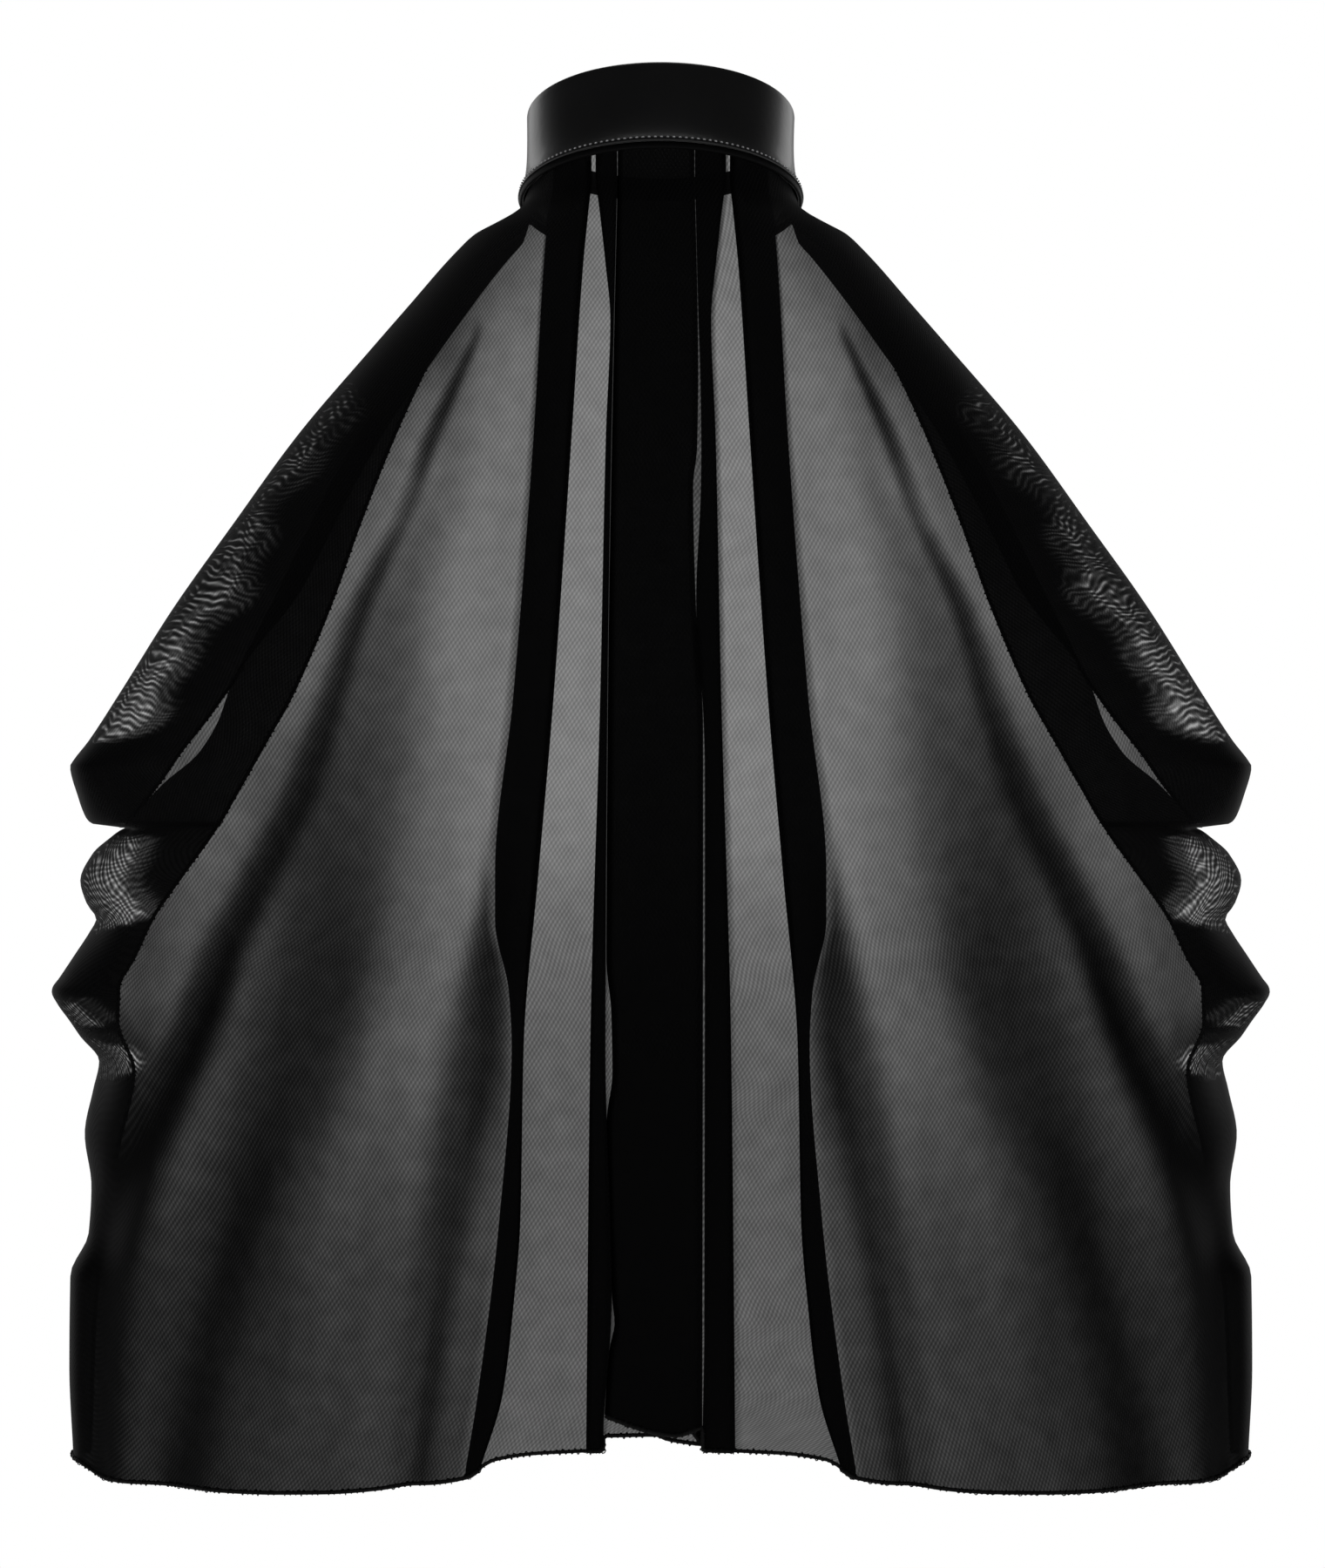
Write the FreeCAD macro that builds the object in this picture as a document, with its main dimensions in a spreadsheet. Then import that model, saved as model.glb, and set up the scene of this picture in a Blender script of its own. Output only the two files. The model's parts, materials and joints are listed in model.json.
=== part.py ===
import FreeCAD, Part
import math
import os
import sys

import Sketcher

"""Sheer mesh cape pleated into a stand collar, closed by a snapped strap across the throat.

Row frame: +Z up, -Y the wearer's back, +X the wearer's right-hand side as seen from behind.
The origin is the centre of the collar's opening, half way up the collar.
The collar's own axis leans forward, so every collar piece is made upright and then tilted.
"""

SHEET_CELLS = [
    # collar
    ("neck_radius", 66),
    ("collar_height", 46),
    ("collar_tilt", 16),
    ("skin_thickness", 1.2),
    ("stiffener_thickness", 1.6),
    ("layer_gap", 0.1),
    ("thread_gap", 0.1),
    ("closure_gap_angle", 84),
    ("flare_height", 5),
    ("flare_width", 3),
    ("binding_height", 3.5),
    ("binding_thickness", 2),
    ("stitch_radius", 0.35),
    # closure strap, which reaches across the collar's gap near its top edge
    ("tab_height", 13),
    ("tab_middle", 14),
    ("tab_standoff", 2.6),
    ("tab_skin", 0.9),
    ("tab_hidden_margin", 1.5),
    ("tab_start_angle", 44),
    ("tab_free_angle", 103),
    ("tab_base_angle", 20),
    ("tab_thread_inset", 2.5),
    ("tab_end_gap_angle", 0.3),
    ("tab_seat_gap", 0.3),
    # press studs
    ("snap_angle", 51),
    ("snap_pitch_angle", 8.5),
    ("rivet_radius", 1.5),
    ("rivet_clearance", 0.25),
    ("rivet_seat_gap", 0.05),
    ("stud_radius", 1.6),
    ("snap_flange_radius", 4.5),
    ("snap_plate", 0.4),
    ("socket_depth", 1.7),
    ("stud_height", 1.4),
    ("cap_dome", 1.2),
    ("cap_overhang", 0.5),
    ("drill_margin", 1),
    ("socket_bore_radius", 3.7),
    ("socket_seat_gap", 0.25),
    # cloth
    ("cloth_thickness", 3),
    ("cloth_gap", 1.5),
    ("hem_height", 4),
    ("hem_thickness", 4.4),
    ("edge_width", 4),
    ("edge_gap", 1.2),
    ("flute_count", 5),
    ("flute_depth", 9),
]

# Levels of the hanging cloth, from the neckline down. Each one gives the height at the side,
# the half width, the depth behind and in front of the wearer, the half width of the middle
# panel, the angle round from the back at which the front edge comes, the share of the
# collar's tilt that is left, and the share of the full flute depth. The first level is the
# neckline, right under the binding.
LEVELS = [
    (-26.6, 71.5, 71.5, 71.5, 30, 105, 1.00, 0.00),
    (-54.0, 111, 88, 74, 36, 126, 0.45, 0.05),
    (-100.0, 151, 104, 78, 40, 129, 0.20, 0.15),
    (-190.0, 223, 120, 84, 50, 134, 0.00, 0.35),
    (-318.0, 307, 134, 84, 60, 134, 0.00, 0.55),
    (-435.0, 316, 144, 66, 67, 114, 0.00, 0.75),
    (-560.0, 300, 152, 48, 71, 104, 0.00, 0.90),
    (-676.0, 307, 158, 40, 82, 100, 0.00, 1.00),
]

SECTION_POINTS = 25
LEVELS_BETWEEN = 3


def make_sheet(doc):
    """Driving dimensions, in millimetres and degrees, one named cell each."""
    sheet = doc.addObject("Spreadsheet::Sheet", "Dimensions")
    for row, (alias, value) in enumerate(SHEET_CELLS, start=1):
        sheet.set(f"A{row}", alias)
        sheet.set(f"B{row}", str(value))
        sheet.setAlias(f"B{row}", alias)
    doc.recompute()
    return sheet


doc = FreeCAD.newDocument("cape")
sheet = make_sheet(doc)
subparts = []


def size(alias):
    """One driving dimension as a plain number."""
    return float(getattr(sheet, alias))


def cell(alias):
    """One driving dimension as it is written in an expression."""
    return f"<<Dimensions>>.{alias}"


def named(obj, label):
    """Give a sub-part its name, which is also the name of its file."""
    obj.Label = label
    subparts.append(obj)
    return obj


# ---------------------------------------------------------------- collar frame

def collar_frame(turn=0.0):
    """Placement of a piece of the collar: turned about the collar's axis, then tilted."""
    tilt = FreeCAD.Rotation(FreeCAD.Vector(1, 0, 0), -size("collar_tilt"))
    spin = FreeCAD.Rotation(FreeCAD.Vector(0, 0, 1), turn)
    return FreeCAD.Placement(FreeCAD.Vector(0, 0, 0), tilt.multiply(spin))


def side_angle(angle):
    """Turn that brings a piece made along +X to `angle` degrees from the throat, towards +X."""
    return 90.0 - angle


# ---------------------------------------------------------------- bodies of revolution

def bind_profile(sketch, corners):
    """Closed outline through corners whose radius and height are expressions."""
    count = len(corners)
    for index in range(count):
        start = FreeCAD.Vector(index, index * index, 0)
        following = (index + 1) % count
        end = FreeCAD.Vector(following, following * following, 0)
        sketch.addGeometry(Part.LineSegment(start, end), False)
    for index in range(count):
        sketch.addConstraint(Sketcher.Constraint("Coincident", index, 2, (index + 1) % count, 1))
    for index, (radius, height) in enumerate(corners):
        places = (("DistanceX", radius, index), ("DistanceY", height, index * index))
        for kind, expression, place in places:
            number = sketch.addConstraint(Sketcher.Constraint(kind, -1, 1, index, 1, place))
            sketch.setExpression(f"Constraints[{number}]", expression)


def revolved_body(name, corners, angle, turn):
    """PartDesign body: a profile in the XZ plane turned about the collar's axis."""
    body = doc.addObject("PartDesign::Body", name)
    plane = next(f for f in body.Origin.OriginFeatures if f.Role == "XZ_Plane")
    sketch = body.newObject("Sketcher::SketchObject", f"{name}_profile")
    sketch.AttachmentSupport = (plane, [""])
    sketch.MapMode = "FlatFace"
    bind_profile(sketch, corners)
    turning = body.newObject("PartDesign::Revolution", f"{name}_revolution")
    turning.Profile = sketch
    turning.ReferenceAxis = (sketch, ["V_Axis"])
    turning.setExpression("Angle", angle)
    body.Tip = turning
    body.Placement = collar_frame(turn)
    return body


# radii of the collar's layers, as expressions, from the neck outwards
LINING_IN = cell("neck_radius")
LINING_OUT = f"({LINING_IN} + {cell('skin_thickness')})"
STIFF_IN = f"({LINING_OUT} + {cell('layer_gap')})"
STIFF_OUT = f"({STIFF_IN} + {cell('stiffener_thickness')})"
FACING_IN = f"({STIFF_OUT} + {cell('layer_gap')})"
FACING_OUT = f"({FACING_IN} + {cell('skin_thickness')})"
TOP = f"{cell('collar_height')} / 2"
BOTTOM = f"-{cell('collar_height')} / 2"
FLARE_TOP = f"{BOTTOM} + {cell('flare_height')}"
UNDER_TURN = f"{TOP} - {cell('skin_thickness')}"
RING_ANGLE = f"360 - {cell('closure_gap_angle')}"


def ring_start():
    """Turn that centres the gap between the collar's two ends on the throat."""
    return 90.0 + size("closure_gap_angle") / 2


def facing_outer_radius():
    """Outer radius of the collar's straight wall."""
    outer_layers = size("stiffener_thickness") + size("layer_gap") + size("skin_thickness")
    return stiffener_inner_radius() + outer_layers


def stiffener_inner_radius():
    return size("neck_radius") + size("skin_thickness") + size("layer_gap")


def make_collar_lining():
    low = f"{BOTTOM}"
    high = f"{UNDER_TURN} - {cell('layer_gap')}"
    corners = [(LINING_IN, low), (LINING_OUT, low), (LINING_OUT, high), (LINING_IN, high)]
    named(revolved_body("Lining", corners, RING_ANGLE, ring_start()), "collar_lining")


def make_rivet_clearance(name, inner, outer, radius):
    """Radial cylinders at the two press studs, from one radius of the collar to another."""
    tools = []
    for index, side in enumerate((-1, 1)):
        tool = doc.addObject("Part::Cylinder", f"{name}{index}")
        tool.Radius = radius
        tool.Height = outer - inner
        tool.Placement = snap_place(side, inner)
        tools.append(tool)
    group = doc.addObject("Part::Compound", name)
    group.Links = tools
    return group


def snap_place(side, radius):
    """Placement of a snap piece made along +Z: out from the collar, at one of two angles."""
    outward = FreeCAD.Rotation(FreeCAD.Vector(0, 1, 0), 90)
    angle = size("snap_angle") + side * size("snap_pitch_angle") / 2
    local = FreeCAD.Placement(FreeCAD.Vector(radius, 0, size("tab_middle")), outward)
    return collar_frame(side_angle(angle)).multiply(local)


def cut(name, base, tool):
    """Boolean cut that keeps both inputs as objects of the document."""
    result = doc.addObject("Part::Cut", name)
    result.Base = base
    result.Tool = tool
    return result


def rivet_hole_radius():
    return size("rivet_radius") + size("rivet_clearance")


def rivet_head_radius():
    return size("snap_flange_radius") - size("cap_overhang")


def make_collar_stiffener():
    low = f"{BOTTOM}"
    high = f"{UNDER_TURN} - {cell('layer_gap')}"
    corners = [(STIFF_IN, low), (STIFF_OUT, low), (STIFF_OUT, high), (STIFF_IN, high)]
    ring = revolved_body("Stiffener", corners, RING_ANGLE, ring_start())
    margin = size("drill_margin")
    inner = stiffener_inner_radius() - margin
    outer = facing_outer_radius() + margin
    holes = make_rivet_clearance("StiffenerHoles", inner, outer, rivet_hole_radius())
    head = size("stiffener_thickness") / 2 + size("layer_gap")
    pocket_radius = rivet_head_radius() + size("rivet_clearance")
    pockets = make_rivet_clearance("HeadPockets", inner, inner + margin + head, pocket_radius)
    drilled = cut("StiffenerDrilled", ring, holes)
    named(cut("StiffenerPocketed", drilled, pockets), "collar_stiffener")


def make_collar_facing():
    flared_in = f"{FACING_IN} + {cell('flare_width')}"
    flared_out = f"{FACING_OUT} + {cell('flare_width')}"
    corners = [
        (flared_in, BOTTOM),
        (flared_out, BOTTOM),
        (FACING_OUT, FLARE_TOP),
        (FACING_OUT, TOP),
        (LINING_IN, TOP),
        (LINING_IN, UNDER_TURN),
        (FACING_IN, UNDER_TURN),
        (FACING_IN, FLARE_TOP),
    ]
    ring = revolved_body("Facing", corners, RING_ANGLE, ring_start())
    margin = size("drill_margin")
    outer = facing_outer_radius() + margin
    inner = outer - size("skin_thickness") - 2 * margin
    holes = make_rivet_clearance("FacingHoles", inner, outer, rivet_hole_radius())
    named(cut("FacingDrilled", ring, holes), "collar_facing")


def make_neck_binding():
    """Folded lip that hangs just inside the collar's flared lower edge."""
    low = f"{BOTTOM} - {cell('binding_height')}"
    high = f"{BOTTOM} - {cell('layer_gap')}"
    inside = f"{FACING_IN} + {cell('flare_width')} - {cell('binding_thickness')}"
    outside = f"{FACING_IN} + {cell('flare_width')}"
    corners = [(inside, low), (outside, low), (outside, high), (inside, high)]
    named(revolved_body("Binding", corners, RING_ANGLE, ring_start()), "neck_binding")


def make_collar_stitching():
    """Row of thread round the collar, a little above its flare."""
    thread = doc.addObject("Part::Torus", "CollarThread")
    thread.setExpression("Radius1", f"{FACING_OUT} + {cell('stitch_radius')} + {cell('thread_gap')}")
    thread.setExpression("Radius2", cell("stitch_radius"))
    thread.setExpression("Angle3", RING_ANGLE)
    lift = FreeCAD.Placement(FreeCAD.Vector(0, 0, thread_height()), FreeCAD.Rotation())
    thread.Placement = collar_frame(ring_start()).multiply(lift)
    named(thread, "collar_stitching")


def thread_height():
    """Height of the stitch row: just above the flare, below the tab."""
    return -size("collar_height") / 2 + size("flare_height") + 2 * size("stitch_radius")


# ---------------------------------------------------------------- closure tab

def tab_layer(name, inner, outer, start, sweep, height):
    """Arc-shaped plate round the collar: `start` and `sweep` in degrees from the throat to +X."""
    middle = cell("tab_middle")
    body = revolved_body(
        name,
        [
            (f"{inner}", f"{middle} - {height} / 2"),
            (f"{outer}", f"{middle} - {height} / 2"),
            (f"{outer}", f"{middle} + {height} / 2"),
            (f"{inner}", f"{middle} + {height} / 2"),
        ],
        f"{sweep}",
        side_angle(start + sweep),
    )
    return body


def tab_radii():
    """Inner and outer radius of the tab's lining, stiffener and facing, in that order."""
    inner = facing_outer_radius() + size("tab_standoff")
    radii = []
    for _ in range(3):
        radii.append((inner, inner + size("tab_skin")))
        inner += size("tab_skin") + size("layer_gap")
    return radii


def make_tab():
    """Free part of the strap, in three layers, drilled for the two rivets."""
    start = -size("tab_start_angle") + size("tab_end_gap_angle")
    sweep = size("tab_free_angle")
    height = cell("tab_height")
    margin = size("tab_hidden_margin")
    for label, (inner, outer) in zip(("tab_lining", "tab_stiffener", "tab_facing"), tab_radii()):
        hidden = label == "tab_stiffener"
        inset = math.degrees(margin / outer) if hidden else 0.0
        tall = f"({height} - {2 * margin})" if hidden else height
        plate = tab_layer(f"{label}_plate", inner, outer, start + inset, sweep - 2 * inset, tall)
        drill = (inner - size("drill_margin"), outer + size("drill_margin"))
        holes = make_rivet_clearance(f"{label}_holes", *drill, rivet_hole_radius())
        named(cut(f"{label}_drilled", plate, holes), label)


def make_tab_base():
    """The strap's end, folded under and sewn down beside the collar's gap."""
    sweep = size("tab_base_angle")
    start = -size("tab_start_angle") - sweep
    inner = facing_outer_radius() + size("tab_seat_gap")
    outer = tab_radii()[-1][1]
    named(tab_layer("TabBase", inner, outer, start, sweep, cell("tab_height")), "tab_base")


def make_tab_stitching():
    """Two upright rows of thread that hold the tab's base down."""
    radius = size("stitch_radius")
    seam_radius = tab_radii()[-1][1] + radius + size("thread_gap")
    inset_angle = math.degrees(size("tab_thread_inset") / seam_radius)
    near = -size("tab_start_angle") - inset_angle
    far = -size("tab_start_angle") - size("tab_base_angle") + inset_angle
    rows = []
    for index, angle in enumerate((near, far)):
        row = doc.addObject("Part::Cylinder", f"TabThread{index}")
        row.setExpression("Radius", cell("stitch_radius"))
        row.setExpression("Height", f"{cell('tab_height')} - 2 * {cell('tab_thread_inset')}")
        low = size("tab_middle") - size("tab_height") / 2 + size("tab_thread_inset")
        foot = FreeCAD.Vector(seam_radius, 0, low)
        local = FreeCAD.Placement(foot, FreeCAD.Rotation())
        row.Placement = collar_frame(side_angle(angle)).multiply(local)
        rows.append(row)
    group = doc.addObject("Part::Compound", "TabThreads")
    group.Links = rows
    named(group, "tab_stitching")


# ---------------------------------------------------------------- press studs

def turned(name, outline):
    """Small turned piece: an outline of (radius, height) points round the +Z axis."""
    points = [FreeCAD.Vector(radius, 0, height) for radius, height in outline]
    profile = doc.addObject("Part::Feature", f"{name}_outline")
    profile.Shape = Part.Face(Part.makePolygon(points + points[:1]))
    solid = doc.addObject("Part::Revolution", name)
    solid.Source = profile
    solid.Axis = FreeCAD.Vector(0, 0, 1)
    solid.Angle = 360
    solid.Solid = True
    return solid


def snap_pair(label, outline, radius):
    """Two identical snap pieces, side by side, standing on a radius of the collar."""
    pair = []
    for index, side in enumerate((-1, 1)):
        piece = turned(f"{label}{index}", outline)
        piece.Placement = snap_place(side, radius)
        pair.append(piece)
    group = doc.addObject("Part::Compound", f"{label}_pair")
    group.Links = pair
    named(group, label)


def make_snaps():
    """Stud and its rivet on the collar; socket and cap on the tab."""
    plate = size("snap_plate")
    flange = size("snap_flange_radius")
    stud = size("stud_radius")
    rivet = size("rivet_radius")
    wall = facing_outer_radius()
    lining, _, facing = tab_radii()
    socket_depth = size("socket_depth")
    stud_height = size("stud_height")
    head_bottom = stiffener_inner_radius() + size("rivet_seat_gap")
    head_top = size("stiffener_thickness") / 2

    snap_pair(
        "snap_studs",
        [(0, 0), (flange, 0), (flange, plate), (stud, plate), (stud, stud_height), (0, stud_height)],
        wall + size("rivet_seat_gap"),
    )
    snap_pair(
        "snap_posts",
        [
            (0, 0),
            (rivet_head_radius(), 0),
            (rivet_head_radius(), head_top),
            (rivet, head_top),
            (rivet, wall - head_bottom),
            (0, wall - head_bottom),
        ],
        head_bottom,
    )
    bore = size("socket_bore_radius")
    snap_pair(
        "snap_sockets",
        [
            (bore, 0),
            (flange, 0),
            (flange, socket_depth),
            (0, socket_depth),
            (0, socket_depth - plate),
            (bore, socket_depth - plate),
        ],
        lining[0] - socket_depth - size("socket_seat_gap"),
    )
    dome = size("cap_dome")
    rim = flange + size("cap_overhang")
    shank = facing[1] - lining[0] + size("rivet_seat_gap")
    snap_pair(
        "snap_caps",
        [
            (0, 0),
            (rivet, 0),
            (rivet, shank),
            (rim, shank),
            (flange, shank + dome * 0.6),
            (flange * 0.6, shank + dome),
            (0, shank + dome),
        ],
        lining[0],
    )


# ---------------------------------------------------------------- cloth

def tilted(point, share):
    """Lean a point of a level forward by a share of the collar's tilt."""
    angle = math.radians(size("collar_tilt") * share)
    along = point.y * math.cos(angle) + point.z * math.sin(angle)
    up = -point.y * math.sin(angle) + point.z * math.cos(angle)
    return FreeCAD.Vector(point.x, along, up)


def cloth_point(level, angle, inset):
    """Point of one level at `angle` degrees round from the back, `inset` inside the cloth's face."""
    height, half_width, back, front, _, _, tilt_share, flute_share = level
    turn = math.radians(angle)
    depth = back if abs(angle) < 90 else front
    fold = math.cos(2 * turn * size("flute_count"))
    flute = size("flute_depth") * flute_share * fold * max(0.0, math.cos(turn))
    x = (half_width - inset) * math.sin(turn)
    y = -(depth + flute - inset) * math.cos(turn)
    return tilted(FreeCAD.Vector(x, y, height), tilt_share)


def section(level, start, end, inset, thickness):
    """Closed wire across the cloth: outer curve, end, inner curve, end."""
    steps = [i / (SECTION_POINTS - 1) for i in range(SECTION_POINTS)]
    angles = [start + (end - start) * step for step in steps]
    outer = [cloth_point(level, angle, inset) for angle in angles]
    inner = [cloth_point(level, angle, inset + thickness) for angle in reversed(angles)]
    curves = []
    for points in (outer, inner):
        curve = Part.BSplineCurve()
        curve.interpolate(Points=points, Parameters=steps)
        curves.append(curve.toShape())
    first_end = Part.makeLine(outer[-1], inner[0])
    last_end = Part.makeLine(inner[-1], outer[0])
    return Part.Wire([curves[0], first_end, curves[1], last_end])


def width_angle(level, distance):
    """Angle round from the back at which a level is `distance` from the middle."""
    return math.degrees(math.asin(distance / level[1]))


def gap_angle(level, distance):
    """Angle taken up by a short distance along a level."""
    return math.degrees(distance / level[1])


def blend(before, first, second, after, share):
    """Smooth value between `first` and `second` that never swings past either of them."""
    low, high = sorted((first, second))
    value = 0.5 * (
        2 * first
        + (second - before) * share
        + (2 * before - 5 * first + 4 * second - after) * share**2
        + (3 * first - before - 3 * second + after) * share**3
    )
    return min(max(value, low), high)


def filled(levels):
    """The levels with some more between each pair, on smooth curves."""
    ends = [levels[0]] + levels + [levels[-1]]
    result = []
    for index in range(1, len(levels)):
        around = ends[index - 1 : index + 3]
        for step in range(LEVELS_BETWEEN + 1):
            share = step / (LEVELS_BETWEEN + 1)
            result.append(tuple(blend(*values, share) for values in zip(*around)))
    return result + [levels[-1]]


def cloth(label, levels, limits, inset, thickness):
    """Lofted sheet through the levels; limits(level) gives its first and last angle."""
    wires = []
    for level in levels:
        start, end = limits(level)
        wires.append(section(level, start, end, inset, thickness))
    sheet_piece = doc.addObject("Part::Feature", label)
    sheet_piece.Shape = Part.makeLoft(wires, True, True)
    named(sheet_piece, label)


def back_limits(level):
    half = width_angle(level, level[4])
    return -half, half


def side_limits(side):
    """Limits of a side panel: from the middle panel to the strip of the front edge."""

    def limits(level):
        start = width_angle(level, level[4]) + gap_angle(level, size("cloth_gap"))
        return side * start, side * level[5]

    return limits


def edge_limits(side):
    """Limits of the narrow strip of thread along a front edge."""

    def limits(level):
        start = level[5] + gap_angle(level, size("edge_gap"))
        return side * start, side * (start + gap_angle(level, size("edge_width")))

    return limits


def lowered(level, drop):
    """The same level, a little further down."""
    return (level[0] - drop,) + tuple(level[1:])


def make_cloth():
    thickness = size("cloth_thickness")
    bead = size("hem_thickness")
    overhang = (bead - thickness) / 2
    levels = filled(LEVELS)
    cloth("cape_back", levels, back_limits, 0.0, thickness)
    for side, name in ((-1, "left"), (1, "right")):
        cloth(f"cape_side_{name}", levels, side_limits(side), 0.0, thickness)
        cloth(f"front_edge_{name}", levels, edge_limits(side), -overhang, bead)


def make_hems():
    overhang = (size("hem_thickness") - size("cloth_thickness")) / 2
    top = lowered(LEVELS[-1], 0.1)
    bottom = lowered(LEVELS[-1], size("hem_height"))
    levels = [top, bottom]
    cloth("hem_back", levels, back_limits, -overhang, size("hem_thickness"))
    for side, name in ((-1, "left"), (1, "right")):
        cloth(f"hem_{name}", levels, side_limits(side), -overhang, size("hem_thickness"))


# ---------------------------------------------------------------- build, test and write

def check_document():
    """Stop if an object failed or a sub-part's shape is missing or not valid."""
    doc.recompute()
    failed = [o.Label for o in doc.Objects if {"Invalid", "Error"} & set(o.State)]
    broken = [o.Label for o in subparts if o.Shape.isNull() or not o.Shape.isValid()]
    if failed or broken:
        sys.exit(f"failed objects: {failed}; broken sub-parts: {broken}")


def write_subparts():
    os.makedirs("parts", exist_ok=True)
    for piece in subparts:
        piece.Shape.exportStep(f"parts/{piece.Label}.step")
        box = piece.Shape.BoundBox
        print(
            f"{piece.Label:20s} volume {piece.Shape.Volume / 1000:9.3f} cm3, "
            f"solids {len(piece.Shape.Solids)}, z {box.ZMin:7.1f} to {box.ZMax:7.1f}"
        )


make_collar_lining()
make_collar_stiffener()
make_collar_facing()
make_neck_binding()
make_collar_stitching()
make_tab_base()
make_tab()
make_tab_stitching()
make_snaps()
make_cloth()
make_hems()
check_document()
write_subparts()
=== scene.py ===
import json
import math

import bpy
import numpy as np
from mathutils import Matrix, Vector


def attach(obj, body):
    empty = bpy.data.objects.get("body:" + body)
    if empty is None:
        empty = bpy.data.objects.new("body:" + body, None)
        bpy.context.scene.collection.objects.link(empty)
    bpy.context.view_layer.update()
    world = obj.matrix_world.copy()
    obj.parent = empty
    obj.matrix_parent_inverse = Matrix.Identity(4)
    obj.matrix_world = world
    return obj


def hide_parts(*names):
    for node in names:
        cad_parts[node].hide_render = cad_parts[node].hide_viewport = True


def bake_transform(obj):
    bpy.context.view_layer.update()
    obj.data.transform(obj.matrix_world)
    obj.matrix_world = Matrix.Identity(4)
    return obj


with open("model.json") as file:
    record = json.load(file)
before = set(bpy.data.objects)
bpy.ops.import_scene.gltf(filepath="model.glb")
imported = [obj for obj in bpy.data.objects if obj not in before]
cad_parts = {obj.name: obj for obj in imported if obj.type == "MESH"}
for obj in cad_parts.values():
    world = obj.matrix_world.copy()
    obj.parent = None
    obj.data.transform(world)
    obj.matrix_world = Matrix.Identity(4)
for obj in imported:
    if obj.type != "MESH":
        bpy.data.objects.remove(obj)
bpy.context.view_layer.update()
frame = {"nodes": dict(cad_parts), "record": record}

# Looks of a sheer mesh cape with a glossy stand collar, hung as on a wearer with raised arms.
#
# Heights and widths of the cloth are in millimetres in the row frame: z is up from the middle
# of the collar, x goes out from the middle of the back, and -y is behind the wearer. Both sides
# are alike, but for the layers stacked over the middle and the strap that closes the collar.

MM = 0.001

MOUNT = frame["record"]["mounts"][0]
COLLAR_AXIS = Vector(MOUNT["axis"])
TILT = math.atan2(COLLAR_AXIS.y, COLLAR_AXIS.z)
NECK_RADIUS = MOUNT["dims"]["r_mm"]

COLLAR_HALF_HEIGHT = 23.0
COLLAR_WALL = 4.2
COLLAR_RADIUS = NECK_RADIUS + COLLAR_WALL
COLLAR_GAP_ANGLE = 84.0
FLARE_WIDTH = 4.4
FLARE_HEIGHT = 7.0
NECKLINE_RADIUS = 71.3
NECKLINE_DROP = 24.8
NECKLINE_SAG = 3.2
NECKLINE_SAG_ANGLE = 86.0
NECKLINE_SAG_SPREAD = 24.0
NECKLINE_END_ANGLE = 105.0
HEM_HEIGHT = -676.0


# ---------------------------------------------------------------- small mathematics

class Profile:
    """Smooth curve through (height, value) points that never swings past them."""

    def __init__(self, *points):
        ordered = sorted(points)
        self.at = np.array([p[0] for p in ordered], float)
        self.value = np.array([p[1] for p in ordered], float)
        step = np.diff(self.at)
        slope = np.diff(self.value) / step
        product = slope[1:] * slope[:-1]
        total = np.where(product > 0, slope[1:] + slope[:-1], 1.0)
        inner = np.where(product > 0, 2 * product / total, 0.0)
        self.slope = np.concatenate([slope[:1], inner, slope[-1:]])

    def __call__(self, height):
        z = np.clip(height, self.at[0], self.at[-1])
        i = np.clip(np.searchsorted(self.at, z) - 1, 0, len(self.at) - 2)
        width = self.at[i + 1] - self.at[i]
        s = (z - self.at[i]) / width
        return (
            (1 + 2 * s) * (1 - s) ** 2 * self.value[i]
            + s * (1 - s) ** 2 * width * self.slope[i]
            + s * s * (3 - 2 * s) * self.value[i + 1]
            + s * s * (s - 1) * width * self.slope[i + 1]
        )


def smooth(value):
    """0 below 0, 1 above 1, and a smooth ramp between."""
    s = np.clip(value, 0.0, 1.0)
    return s * s * (3 - 2 * s)


def ramp(value, start, end):
    """0 at `start` and before it, 1 at `end` and past it, and a smooth ramp between."""
    return smooth((value - start) / (end - start))


def bump(value):
    """1 in the middle, falling softly to nothing about two units away."""
    return np.exp(-np.square(value))


def tilted(x, y, z):
    """A point of the upright collar, leaned forward as the collar is."""
    return (
        x,
        y * math.cos(TILT) + z * math.sin(TILT),
        -y * math.sin(TILT) + z * math.cos(TILT),
    )


# ---------------------------------------------------------------- shape of the hanging cloth

# silhouette at the sides, with the two lobes that the raised arms make
HALF_WIDTH = Profile(
    (-10, 71), (-27, 83), (-36, 93), (-54, 111), (-77, 131), (-100, 151), (-145, 189.5),
    (-191, 223), (-236, 255), (-282, 284), (-305, 299), (-316, 307.5), (-318.5, 308.8),
    (-322, 308.3), (-333, 305), (-343, 301.5), (-347, 299), (-349, 295), (-349.6, 281),
    (-350.4, 280), (-352, 283), (-355, 287), (-364, 297), (-378, 303.4), (-390, 300),
    (-398, 295), (-404, 298), (-417, 306.5), (-429, 314.5), (-434, 318), (-436, 318.3),
    (-442, 315.5), (-451, 309), (-459, 303.5), (-472, 293.5), (-487, 296.6), (-510, 301),
    (-537, 297.5), (-562, 299), (-584, 308.5), (-631, 309), (-676, 307),
)
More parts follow.
